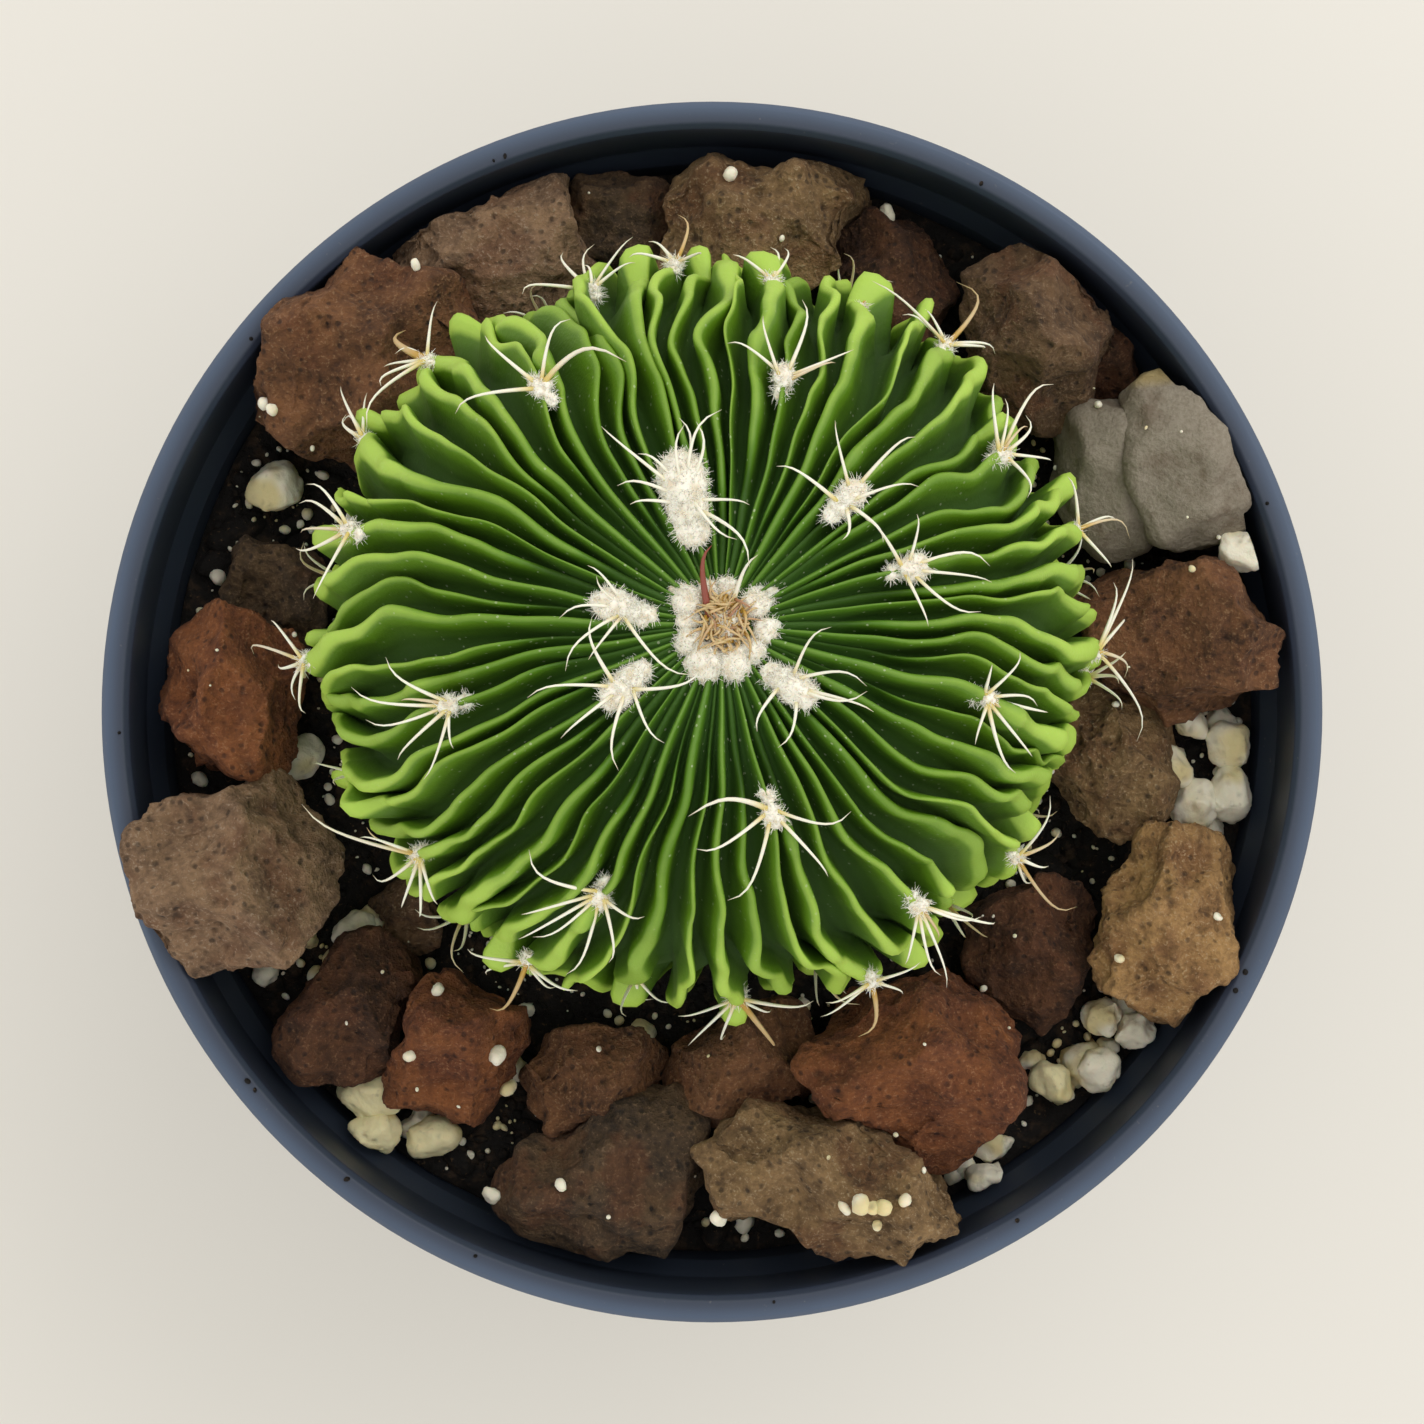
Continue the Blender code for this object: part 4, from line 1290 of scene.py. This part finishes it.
    def pad_points(self) -> Mesh:
        """One point at each cushion, and a ring of them for the woolly crown.

        Returns:
            A mesh of loose points.
        """
        luck = random.Random(self.seed + 1)
        spots, facing, lengthwise, size = [], [], [], []
        for areole in AREOLES:
            lobes = 3 if areole.wool > 0.9 else 2
            for lobe in range(lobes):
                share = lobe / (lobes - 1)
                spots.append(areole.seat + areole.upward * areole.wool * (1.9 * share - 0.35)
                             - areole.outward * (0.1 + 0.35 * share))
                facing.append(areole.outward)
                lengthwise.append(areole.upward)
                scale = areole.wool * (1.0 - 0.28 * share) * luck.uniform(0.9, 1.1)
                size.append(Vector((scale * 1.1, scale * 1.45, scale * 0.8)) * MM)
        crown = self.stem.skin_point(0.0, 0.0)
        for across, along, lobe in self.crown_lobes:
            out = Vector((across, along, 0.0))
            spots.append(crown + out + Vector((0, 0, 0.45)))
            facing.append((out * 0.1 + Vector((0, 0, 1))).normalized())
            lengthwise.append(Vector((0, 1, 0)) if lobe > 1.6 else out.normalized())
            size.append(Vector((1.0, 1.15, 0.75)) * lobe * luck.uniform(0.9, 1.1) * MM)
        return point_mesh("wool_seats", spots, facing=facing, lengthwise=lengthwise, size=size)

    def wool_recipe(self) -> Recipe:
        """Builds the tree that felts each cushion and covers it with hairs.

        Returns:
            The recipe, which reads the pad points.
        """
        r = Recipe("felted_cushions", hairs_per_mm2=17.0)
        ball = r.add("GeometryNodeMeshIcoSphere", None, {"Radius": 1.0, "Subdivisions": 3})
        face = r.add("FunctionNodeAxesToRotation", {"primary_axis": "Z", "secondary_axis": "Y"},
                     {"Primary Axis": r.read("facing", "FLOAT_VECTOR"),
                      "Secondary Axis": r.read("lengthwise", "FLOAT_VECTOR")})
        pads = r.add("GeometryNodeInstanceOnPoints", None,
                     {"Points": r["Geometry"], "Instance": ball, "Rotation": face,
                      "Scale": r.read("size", "FLOAT_VECTOR")})
        pads = r.add("GeometryNodeRealizeInstances", None, {"Geometry": pads})
        pads = r.pushed(pads, r.sum("(a - 0.5) * 0.7 + (b - 0.5) * 0.35", a=r.grain(0.9),
                                    b=r.grain(0.4)))
        pads = r.keep(pads, "along", r.sum("ease((n - 0.3) / 0.4)", n=r.grain(0.5)))
        spread = r.add("GeometryNodeDistributePointsOnFaces", {"distribute_method": "RANDOM"},
                       {"Mesh": pads, "Density": r.sum("h * 1000000", h=r["hairs_per_mm2"]),
                        "Seed": 5})
        hair = r.add("GeometryNodeMeshCone", None,
                     {"Vertices": 3, "Side Segments": 1, "Fill Segments": 1,
                      "Radius Top": 0.25, "Radius Bottom": 1.0, "Depth": 1.0})
        length, girth = (r.chance(low * MM, high * MM, seed) for (low, high), seed in (
            (self.hair_length, 3), (self.hair_girth, 4)))
        size = r.add("ShaderNodeCombineXYZ", None, {0: girth, 1: girth, 2: length})
        hairs = r.add("GeometryNodeInstanceOnPoints", None,
                      {"Points": spread.outputs["Points"], "Instance": hair.outputs["Mesh"],
                       "Rotation": r.tumbled(spread.outputs["Rotation"], 1.15, 6),
                       "Scale": size})
        hairs = r.add("GeometryNodeRealizeInstances", None, {"Geometry": hairs})
        hairs = r.keep(hairs, "along", r.sum("0.7 + 0.3 * n", n=r.grain(0.3)))
        both = r.add("GeometryNodeJoinGeometry", None, {0: pads})
        r.tree.links.new(hairs.outputs[0], both.inputs[0])
        return r.serve(both)

    def build(self) -> None:
        """Seats the areoles, then makes the wool and the spines."""
        self.settle()
        wool = cook("areole_wool", self.pad_points(), self.wool_recipe(), PlantWool().make())
        present(wool, "areole_wool", "cactus")
        spines = cook("spines", self.spine_points(), self.spine_recipe(), SpineHorn().make())
        face_out(spines)
        present(spines, "spine_horn", "cactus")


# ---------------------------------------------------------------------------
# Stones and perlite
# ---------------------------------------------------------------------------

def inside_wall(r: Recipe, lump: Node) -> Node:
    """Draws in what would stick through the pot's wall below its lip.

    Args:
        r: The recipe that makes the lump.
        lump: The node that gives it.

    Returns:
        The node that gives the lump, held inside the wall.
    """
    at = r.here()
    room = r.sum("wall + step * ease((z - ledge) / 0.0018) + free * ease((z - lip) / 0.0012)",
                 wall=0.0472, step=0.0016, ledge=0.0796, free=0.02, lip=0.0893, **at)
    share = r.sum("least(m / root(x * x + y * y), 1)", m=room, **at)
    spot = r.add("ShaderNodeCombineXYZ", None, {0: r.sum("x * s", s=share, **at),
                                                1: r.sum("y * s", s=share, **at), 2: at["z"]})
    return r.add("GeometryNodeSetPosition", None, {"Geometry": lump, "Position": spot})


@dataclass
class Breakage:
    """How a lump of rock is worn and broken; all sizes in millimetres."""

    rounding: int = 3
    swell: float = -0.65
    scoops: float = 2.2
    scoop_size: float = 7.0
    lumps: float = 1.9
    lump_size: float = 6.0
    knobs: float = 1.6
    knob_size: float = 1.7
    pit_size: float = 1.5
    pit_depth: float = 0.35
    warp: float = 2.0
    warp_size: float = 4.0

    def recipe(self, name: str) -> Recipe:
        """Builds the tree that rounds, breaks and pits a rough block.

        Args:
            name: The tree's name.

        Returns:
            The recipe, which takes a block of a few dozen faces.
        """
        r = Recipe(name, shift=0.0, level=4)
        fine = r.add("GeometryNodeSubdivideMesh", None,
                     {"Mesh": r["Geometry"], "Level": r["level"]})
        soft = r.add("GeometryNodeBlurAttribute", {"data_type": "FLOAT_VECTOR"},
                     {"Value": r.add("GeometryNodeInputPosition"), "Iterations": self.rounding,
                      "Weight": 1.0})
        block = r.add("GeometryNodeSetPosition", None, {"Geometry": fine, "Position": soft})
        place = r.add("ShaderNodeVectorMath", {"operation": "ADD"},
                      {0: r.add("GeometryNodeInputPosition"), 1: r["shift"]})

        def grain(size: float, detail: float) -> NodeSocket:
            """Noise of a size in millimetres at the shifted places."""
            return r.add("ShaderNodeTexNoise", None,
                         {"Vector": place, "Scale": per_mm(size),
                          "Detail": detail}).outputs[0]

        pits = r.add("ShaderNodeTexVoronoi", {"feature": "F1"},
                     {"Vector": place, "Scale": per_mm(self.pit_size)})
        kept = r.add("ShaderNodeSeparateXYZ", None, {0: pits.outputs["Color"]}).outputs[0]
        pit = r.sum("(1 - ease(d / 0.42)) * above(c, 0.45)", d=pits.outputs["Distance"], c=kept)
        lump, knob = grain(self.lump_size, 1.0), grain(self.knob_size, 3.0)
        bent = r.add("ShaderNodeVectorMath", {"operation": "MULTIPLY_ADD"},
                     {0: r.add("ShaderNodeTexNoise", None,
                               {"Vector": place,
                                "Scale": per_mm(self.warp_size)}).outputs["Color"],
                      1: (self.warp * MM,) * 3, 2: place})
        scoop = r.add("ShaderNodeTexVoronoi", {"feature": "F1"},
                      {"Vector": bent, "Scale": per_mm(self.scoop_size)}).outputs["Distance"]
        push = r.sum("s + (v * v * 2.2 - 0.35) * c + (a - 0.5) * l + (b - 0.5) * k - p * d",
                     s=self.swell, v=scoop, c=self.scoops, a=lump, l=self.lumps, b=knob,
                     k=self.knobs, p=pit, d=self.pit_depth)
        # painted shade: how dark the pits and low hollows are painted, kept as hollow for the
        # finish
        dark = r.sum("least(p * 0.8 + ease((0.42 - b) / 0.16) * 0.4, 1)", p=pit, b=knob)
        broken = r.pushed(r.keep(block, "hollow", dark), push)
        return r.serve(inside_wall(r, broken))


def grain_recipe(name: str) -> Recipe:
    """Builds a tree that sets a lumpy grain on every point.

    Args:
        name: The tree's name.

    Returns:
        The recipe, which reads each point's size.
    """
    r = Recipe(name, detail=3)
    ball = r.add("GeometryNodeMeshIcoSphere", None, {"Radius": 1.0, "Subdivisions": r["detail"]})
    stretch = r.add("ShaderNodeVectorMath", {"operation": "SCALE"},
                    {0: r.chance(Vector((0.8, 0.7, 0.6)), Vector((1.25, 1.0, 0.9)), 2),
                     "Scale": r.read("size")})
    turned = r.add("FunctionNodeEulerToRotation", None,
                   {0: r.chance(Vector((-3, -3, -3)), Vector((3, 3, 3)), 9)})
    many = r.add("GeometryNodeInstanceOnPoints", None,
                 {"Points": r["Geometry"], "Instance": ball, "Rotation": turned,
                  "Scale": stretch})
    many = r.add("GeometryNodeRealizeInstances", None, {"Geometry": many})
    knob = r.grain(1.3, 2.0)
    # painted shade in the low spots of each grain, kept as hollow for the finish
    marked = r.keep(many, "hollow", r.sum("ease((0.42 - k) / 0.12)", k=knob))
    lumpy = r.pushed(marked, r.sum("(k - 0.5) * s * 1100", k=knob, s=r.read("size")))
    return r.serve(inside_wall(r, lumpy))


@dataclass
class Gravel:
    """The lava stones and pebbles that dress the top of the mix."""

    tones: tuple[LavaTone, ...] = (
        LavaTone.TAN, LavaTone.CHOCOLATE, LavaTone.MAUVE, LavaTone.RUST, LavaTone.MAROON,
        LavaTone.UMBER, LavaTone.MAROON, LavaTone.RUST, LavaTone.TAN, LavaTone.SAND,
        LavaTone.MAROON, LavaTone.RED, LavaTone.TAN, LavaTone.CHOCOLATE, LavaTone.RUST,
        LavaTone.RUST, LavaTone.RED, LavaTone.MAROON, LavaTone.MAUVE, LavaTone.RED,
        LavaTone.CHOCOLATE, LavaTone.UMBER)
    stones: list[Object] = field(default_factory=list)

    def build(self) -> None:
        """Breaks each stone out of its own block."""
        finishes = {tone: LavaRock(tone).make() for tone in LavaTone}
        lava = Breakage().recipe("broken_lava")
        for number, tone in enumerate(self.tones, start=1):
            self.add_stone(f"lava_{number:02d}", f"lava_stone_{number:02d}", lava,
                           finishes[tone], "lava_rock", 0.1 * number)
        smooth = Breakage(swell=0.25, scoops=0.9, lumps=1.0, knobs=0.4,
                          pit_depth=0.05).recipe("worn_pebble")
        grey = WornPebble().make()
        for number in (1, 2):
            self.add_stone(f"pebble_{number:02d}", f"grey_pebble_{number:02d}", smooth, grey,
                           "grey_stone", 0.3 + 0.1 * number)

    def add_stone(self, name: str, node: str, recipe: Recipe, finish: Material,
                  slot: str, shift: float) -> None:
        """Breaks one stone out of its block and lays it on the mix.

        Args:
            name: The stone's name.
            node: The CAD node that is its block.
            recipe: How it is broken.
            finish: What it is made of.
            slot: The name of a material slot, passed on to present.
            shift: Where in the noise it is cut from, so that no two are alike.
        """
        stone = cook(name, merged_copy(node), recipe, finish, shift=shift)
        present(stone, slot, node)
        self.stones.append(stone)


@dataclass
class Perlite:
    """White grains: the larger ones each in its own place, crumbs and dust."""

    mix: "GrowingMix"
    gravel: Gravel
    # (across, along, size) of the crumbs that show
    crumbs: tuple[tuple[float, float, float], ...] = (
        (27.5, 38.8, 1.0), (15.6, 44.5, 0.9), (1.5, 46.4, 0.7), (45.4, 7.2, 1.3),
        (42.5, -1.0, 1.6), (45.2, -0.8, 1.4), (40.3, -4.6, 1.7), (39.1, -8.8, 1.5),
        (42.7, -7.7, 1.8), (45.4, -8.1, 1.8), (44.2, -10.6, 1.5), (36.8, -25.0, 1.6),
        (38.2, -28.4, 1.5), (28.4, -31.0, 1.4), (30.2, -33.6, 1.3), (33.4, -31.8, 2.0),
        (31.8, -34.6, 1.5), (36.4, -33.0, 1.5), (35.2, -29.8, 1.0), (25.6, -40.0, 1.7),
        (24.2, -43.4, 1.3), (23.2, -44.0, 1.2), (27.8, -41.4, 1.2), (13.4, -42.0, 0.7),
        (16.6, -45.4, 1.4), (8.8, -46.0, 1.2), (2.9, -45.4, 1.2), (0.2, -41.6, 1.0),
        (0.5, -43.6, 0.8), (-6.0, -28.6, 1.5), (-30.0, -18.6, 1.9), (-33.6, -22.2, 1.5),
        (-36.0, -20.2, 1.2), (-35.0, -23.6, 1.2), (-40.4, -23.6, 1.4), (-30.0, -32.6, 2.0),
        (-26.0, -36.8, 1.8), (-27.2, -31.0, 1.2), (-26.0, -29.6, 0.7), (-23.6, -24.0, 0.9),
        (-16.4, -26.4, 1.0), (-17.4, -31.6, 1.3), (-18.6, -29.8, 0.9), (-18.0, -33.0, 0.8),
        (-16.0, -41.8, 1.0), (-19.8, -43.6, 0.9), (-38.6, 26.6, 0.7), (-37.6, 25.8, 0.6),
        (11.2, -42.0, 0.7), (12.6, -41.6, 0.9), (14.6, -42.0, 0.8), (16.4, -41.4, 0.6),
        (46.0, -18.6, 0.6), (-45.6, -6.0, 0.9), (38.2, -36.8, 0.6), (-32.0, -36.4, 0.9),
        (-44.0, 12.0, 0.8), (8.0, -26.2, 1.0), (-24.4, -36.4, 0.8), (-21.6, -39.4, 0.6))
    dust_grains: int = 700
    crumb_reach: float = 47.4
    dust_reach: float = 47.0
    drop_from: float = 150.0
    lowest: float = 77.0
    yellowed: tuple[int, ...] = (13, 15, 16, 17)
    seed: int = 23

    def rest(self, across: float, along: float) -> tuple[float, bool]:
        """Finds what a grain dropped at a place comes to rest on.

        Args:
            across: Millimetres to the right of the pot's axis.
            along: Millimetres from the pot's axis towards the back.

        Returns:
            The height in millimetres and whether a stone is there.
        """
        start, down = Vector((across, along, self.drop_from)) * MM, Vector((0, 0, -1))
        heights = [self.lowest]
        for ground in (self.mix.bed, *self.gravel.stones):
            hit, spot = ground.ray_cast(start, down)[:2]
            heights.append(spot.z / MM if hit else 0.0)
        return max(heights), max(heights) > max(heights[:2])

    def crumb_points(self) -> Mesh:
        """One point at each crumb, just sunk into what it lies on.

        Returns:
            A mesh of loose points.
        """
        spots = []
        for across, along, size in self.crumbs:
            inward = min(1.0, (self.crumb_reach - size) / math.hypot(across, along))
            across, along = across * inward, along * inward
            height, on_stone = self.rest(across, along)
            if on_stone and size > 0.9:
                height = self.mix.top
            spots.append(Vector((across, along, height + 0.45 * size)))
        return point_mesh("crumb_places", spots, size=[crumb[2] * MM for crumb in self.crumbs])

    def dust_points(self) -> Mesh:
        """Points scattered over the open mix, with a few on the stones.

        Returns:
            A mesh of loose points.
        """
        luck = random.Random(self.seed)
        spots, sizes = [], []
        while len(spots) < self.dust_grains:
            turn = luck.uniform(0, 2 * math.pi)
            out = self.dust_reach * math.sqrt(luck.uniform(0.3, 1.0))
            across, along = out * math.cos(turn), out * math.sin(turn)
            size = 0.14 + 0.5 * luck.random() ** 2.5
            height, on_stone = self.rest(across, along)
            if not on_stone or luck.random() < 0.05:
                spots.append(Vector((across, along, height + 0.3 + 0.4 * size)))
                sizes.append(size * MM)
        return point_mesh("dust_places", spots, size=sizes)

    def build(self) -> None:
        """Makes the grains, the crumbs and the dust."""
        bpy.context.view_layer.update()
        chalky = ExpandedPerlite().make()
        straw = ExpandedPerlite(name="straw_perlite", white="#ece3b8", cream="#d9c684").make()
        popped = Breakage(rounding=4, swell=0.02, scoops=0.5, scoop_size=3.0, lumps=1.0,
                          lump_size=2.6, knobs=0.5, knob_size=1.1, pit_size=0.8, pit_depth=0.14)
        recipe = popped.recipe("popped_perlite")
        white = [number for number in range(1, 20) if number not in self.yellowed]
        for name, froth, numbers in (("perlite_grains", chalky, white),
                                     ("straw_grains", straw, self.yellowed)):
            nodes = [f"perlite_grain_{number:02d}" for number in numbers]
            grains = cook(name, merged_copy(*nodes), recipe, froth, level=3)
            present(grains, "perlite", *nodes)
        for name, points, detail in (("perlite_crumbs", self.crumb_points(), 3),
                                     ("perlite_dust", self.dust_points(), 2)):
            present(cook(name, points, grain_recipe(name), chalky, detail=detail), "perlite")


# ---------------------------------------------------------------------------
# Pot and growing mix
# ---------------------------------------------------------------------------

def turn_outline(r: Recipe, outline: Node, wrap: int) -> Node:
    """Turns an outline round the upright axis into a closed skin.

    Args:
        r: The recipe, which has an input called columns.
        outline: The node that gives the outline as a curve.
        wrap: 1 for an outline that ends where it began, 0 for one that
            begins and ends on the axis.

    Returns:
        The node that gives the welded mesh.
    """
    count = r.add("GeometryNodeAttributeDomainSize", {"component": "CURVE"},
                  {"Geometry": outline}).outputs["Point Count"]
    rows = r.sum("n + w", n=count, w=float(wrap))
    grid = r.add("GeometryNodeMeshGrid", None,
                 {"Size X": 1.0, "Size Y": 1.0, "Vertices X": r["columns"], "Vertices Y": rows})
    at = r.here()
    row = r.sum("floor((y + 0.5) * (n - 1) + 0.5) % c", n=rows, c=count, **at)
    spot = r.add("GeometryNodeSampleIndex", {"data_type": "FLOAT_VECTOR"},
                 {"Geometry": outline, "Value": r.add("GeometryNodeInputPosition"),
                  "Index": row})
    turn = r.sum("tau * (x + 0.5)", **at)
    corner = r.axes(spot)
    place = r.add("ShaderNodeCombineXYZ", None,
                  {0: r.sum("x * cos(t)", t=turn, **corner),
                   1: r.sum("x * sin(t)", t=turn, **corner), 2: corner["z"]})
    skin = r.add("GeometryNodeSetPosition", None, {"Geometry": grid, "Position": place})
    return r.add("GeometryNodeMergeByDistance", None, {"Geometry": skin, "Distance": 1e-6})


@dataclass
class Pot:
    """A round moulded pot with a rolled lip and holes in its base."""

    columns: int = 193
    edge_radius: float = 0.45
    drain_holes: int = 6
    drain_ring: float = 22.0
    drain_radius: float = 3.5
    outline: tuple[tuple[float, float], ...] = (
        (52.0, 90.0), (52.5, 89.5), (52.5, 88.6), (51.4, 88.2), (50.9, 80.8), (49.5, 80.2),
        (37.2, 0.0), (34.0, 0.0), (33.6, 1.6), (6.0, 1.6), (6.0, 2.7), (36.0, 2.7),
        (48.5, 79.6), (49.8, 81.4), (50.1, 89.5), (50.6, 90.0))

    def recipe(self) -> Recipe:
        """Builds the tree that turns the pot and drills its base.

        Returns:
            The recipe, which takes the pot's outline.
        """
        r = Recipe("turned_pot", columns=193, edge=0.0004, holes=6, ring=0.02, bore=0.003)
        curve = r.add("GeometryNodeMeshToCurve", None, {"Mesh": r["Geometry"]})
        curve = r.add("GeometryNodeFilletCurve", {"mode": "POLY"},
                      {"Curve": curve, "Count": 5, "Radius": r["edge"], "Limit Radius": True})
        wall = turn_outline(r, curve, 1)
        ring = r.add("GeometryNodeMeshCircle", None,
                     {"Vertices": r["holes"], "Radius": r["ring"]})
        ring = r.add("GeometryNodeTransform", None,
                     {"Geometry": ring, "Rotation": (0.0, 0.0, math.radians(30))})
        drill = r.add("GeometryNodeMeshCylinder", None,
                      {"Vertices": 48, "Radius": r["bore"], "Depth": 0.012}).outputs["Mesh"]
        drills = r.add("GeometryNodeInstanceOnPoints", None, {"Points": ring, "Instance": drill})
        drills = r.add("GeometryNodeRealizeInstances", None, {"Geometry": drills})
        drilled = r.add("GeometryNodeMeshBoolean", {"operation": "DIFFERENCE"},
                        {"Mesh 1": wall, "Mesh 2": drills})
        return r.serve(drilled)

    def build(self) -> None:
        """Makes the pot."""
        pot = cook("pot_shell", outline_mesh("pot_outline", list(self.outline), True),
                   self.recipe(), MouldedPolypropylene().make(), columns=self.columns,
                   edge=self.edge_radius * MM, holes=self.drain_holes,
                   ring=self.drain_ring * MM, bore=self.drain_radius * MM)
        face_out(pot)
        present(pot, "pot_plastic", "pot")


@dataclass
class GrowingMix:
    """Dark peat and bark that fill the pot, with crumbs on top and on the lip."""

    columns: int = 241
    top: float = 77.6
    top_radius: float = 48.0
    step_in: float = 0.9
    underside: tuple[tuple[float, float], ...] = (
        (0.0, 3.0), (20.0, 3.0), (35.4, 3.0), (41.5, 40.0))
    crumbs_per_mm2: float = 0.55
    chips_per_mm2: float = 0.06
    hollow_radius: float = 19.0
    hollow_depth: float = 6.0
    lip_radius: float = 50.9
    lip_top: float = 90.05
    bed: Object | None = None
    # (bearing, size) of crumbs that were spilt on the lip
    strays: tuple[tuple[float, float], ...] = (
        (110.4, 0.28), (111.6, 0.16), (20.6, 0.2), (141.0, 0.18), (218.5, 0.34), (219.6, 0.2),
        (232.0, 0.26), (246.5, 0.2), (332.0, 0.22), (334.0, 0.3), (301.0, 0.18), (63.0, 0.2),
        (182.0, 0.16), (199.0, 0.24), (276.0, 0.2))

    def outline(self) -> list[tuple[float, float]]:
        """Outline from the middle of the bottom, up the side and back in."""
        inward = [(self.top_radius - self.step_in * step, self.top) for step in range(53)]
        return [*self.underside, *inward, (0.0, self.top)]

    @staticmethod
    def from_stem(r: Recipe) -> NodeSocket:
        """How far each point is from the middle of the stem, seen from above."""
        across, along = STEM_CENTRE
        return r.sum("root((x - a) ** 2 + (y - b) ** 2)", a=across * MM, b=along * MM)

    def bed_recipe(self) -> Recipe:
        """Builds the tree of the rough filled bed, with a hollow for the stem.

        Returns:
            The recipe, which takes the bed's outline.
        """
        r = Recipe("rough_bed", columns=241)
        curve = r.add("GeometryNodeMeshToCurve", None, {"Mesh": r["Geometry"]})
        skin = turn_outline(r, curve, 0)
        r.terms.update(r.here(), hollow=self.hollow_radius * MM, sink=self.hollow_depth * MM)
        rough = r.sum("above(z, 0.077) * (0.0026 * (a - 0.5) + 0.0013 * (b - 0.5)"
                      " - sink * (1 - ease((f - hollow) / 0.0032)))",
                      a=r.grain(7.0, 2.0), b=r.grain(2.0, 2.0), f=self.from_stem(r))
        lift = r.add("ShaderNodeCombineXYZ", None, {2: rough})
        return r.serve(r.add("GeometryNodeSetPosition", None,
                             {"Geometry": skin, "Offset": lift}))

    def crumb_recipe(self) -> Recipe:
        """Builds the tree that scatters crumbs and chips over the bed.

        Returns:
            The recipe, which takes the finished bed.
        """
        r = Recipe("loose_crumbs", crumbs=0.5, chips=0.05)
        r.terms.update(r.here(), floor_at=0.0745, wall=0.0468, clear=0.0215)
        open_top = r.sum("above(z, floor_at) * above(wall, root(x * x + y * y))"
                         " * above(f, clear)", f=self.from_stem(r))
        both = r.add("GeometryNodeJoinGeometry")
        for label, level, low, high, seed in (("crumbs", 1, 0.00025, 0.0009, 1),
                                              ("chips", 2, 0.0008, 0.0019, 2)):
            spread = r.add("GeometryNodeDistributePointsOnFaces", None,
                           {"Mesh": r["Geometry"], "Selection": open_top, "Seed": seed,
                            "Density": r.sum("d * 1000000", d=r[label])})
            lump = r.add("GeometryNodeMeshIcoSphere", None, {"Radius": 1.0,
                                                             "Subdivisions": level})
            size = r.add("ShaderNodeVectorMath", {"operation": "SCALE"},
                         {0: r.chance(Vector((0.5, 0.5, 0.35)), Vector((1.6, 0.9, 0.7)), 3),
                          "Scale": r.chance(low, high, 4)})
            many = r.add("GeometryNodeInstanceOnPoints", None,
                         {"Points": spread.outputs["Points"], "Instance": lump,
                          "Rotation": r.tumbled(spread.outputs["Rotation"], 0.7, 5),
                          "Scale": size})
            r.tree.links.new(many.outputs[0], both.inputs[0])
        real = r.add("GeometryNodeRealizeInstances", None, {"Geometry": both})
        return r.serve(r.pushed(real, r.sum("(n - 0.5) * 0.9", n=r.grain(0.9, 1.0))))

    def build(self) -> None:
        """Makes the bed and its crumbs."""
        damp = PottingMix().make()
        self.bed = cook("growing_bed", outline_mesh("bed_outline", self.outline(), False),
                        self.bed_recipe(), damp, columns=self.columns)
        face_out(self.bed)
        present(self.bed, "growing_mix", "soil")
        crumbs = cook("bed_crumbs", self.bed.data.copy(), self.crumb_recipe(), damp,
                      crumbs=self.crumbs_per_mm2, chips=self.chips_per_mm2)
        present(crumbs, "growing_mix")
        spots = [Vector((self.lip_radius * math.cos(math.radians(bearing)),
                         self.lip_radius * math.sin(math.radians(bearing)), self.lip_top))
                 for bearing, _ in self.strays]
        spilt = point_mesh("stray_places", spots, size=[size * MM for _, size in self.strays])
        lip = cook("lip_crumbs", spilt, grain_recipe("lip_crumbs"), damp)
        present(lip, "growing_mix")


# ---------------------------------------------------------------------------
# Studio
# ---------------------------------------------------------------------------

@dataclass
class Studio:
    """Pale floor, soft light from the upper right, camera straight above."""

    camera_height: float = 0.420
    lens: float = 97.2
    sky: float = 0.985
    window_watts: float = 1.9
    window_size: float = 0.7
    window_place: tuple[float, float, float] = (0.38, 0.42, 0.70)
    window_aim: tuple[float, float, float] = (0.0, 0.0, 0.09)
    sky_tint: tuple[float, ...] = (1.0, 0.99, 0.97, 1.0)
    floor_half: float = 2.0

    def build(self) -> None:
        """Lays the floor, hangs the lamp and sets the camera."""
        scene = bpy.context.scene
        scene.view_settings.view_transform = "Standard"
        board = bpy.data.meshes.new("studio_floor")
        half = self.floor_half
        board.from_pydata([(-half, -half, 0), (half, -half, 0), (half, half, 0),
                           (-half, half, 0)], [], [(0, 1, 2, 3)])
        floor = bpy.data.objects.new("studio_floor", board)
        board.materials.append(MattPaint().make())
        scene.collection.objects.link(floor)
        world = bpy.data.worlds.new("soft_room")
        world.use_nodes = True
        room = world.node_tree.nodes["Background"]
        room.inputs[0].default_value = self.sky_tint
        room.inputs[1].default_value = self.sky
        scene.world = world
        lamp = bpy.data.lights.new("window_light", "AREA")
        lamp.energy, lamp.size = self.window_watts, self.window_size
        window = bpy.data.objects.new("window_light", lamp)
        window.location = self.window_place
        aim = Vector(self.window_aim) - window.location
        window.rotation_euler = aim.to_track_quat("-Z", "Y").to_euler()
        scene.collection.objects.link(window)
        view = bpy.data.cameras.new("portrait_camera")
        view.sensor_width, view.lens = 36.0, self.lens
        eye = bpy.data.objects.new("portrait_camera", view)
        eye.location = (0.0, 0.0, self.camera_height)
        scene.collection.objects.link(eye)
        scene.camera = eye


def main() -> None:
    """Builds the pot, the mix, the plant and the stones, then the studio."""
    logging.basicConfig(level=logging.INFO, format="%(message)s")
    Pot().build()
    mix = GrowingMix()
    mix.build()
    stem = RibbedStem()
    stem.build()
    Areoles(stem).build()
    gravel = Gravel()
    gravel.build()
    Perlite(mix, gravel).build()
    Studio().build()


if __name__ == "__main__":
    main()
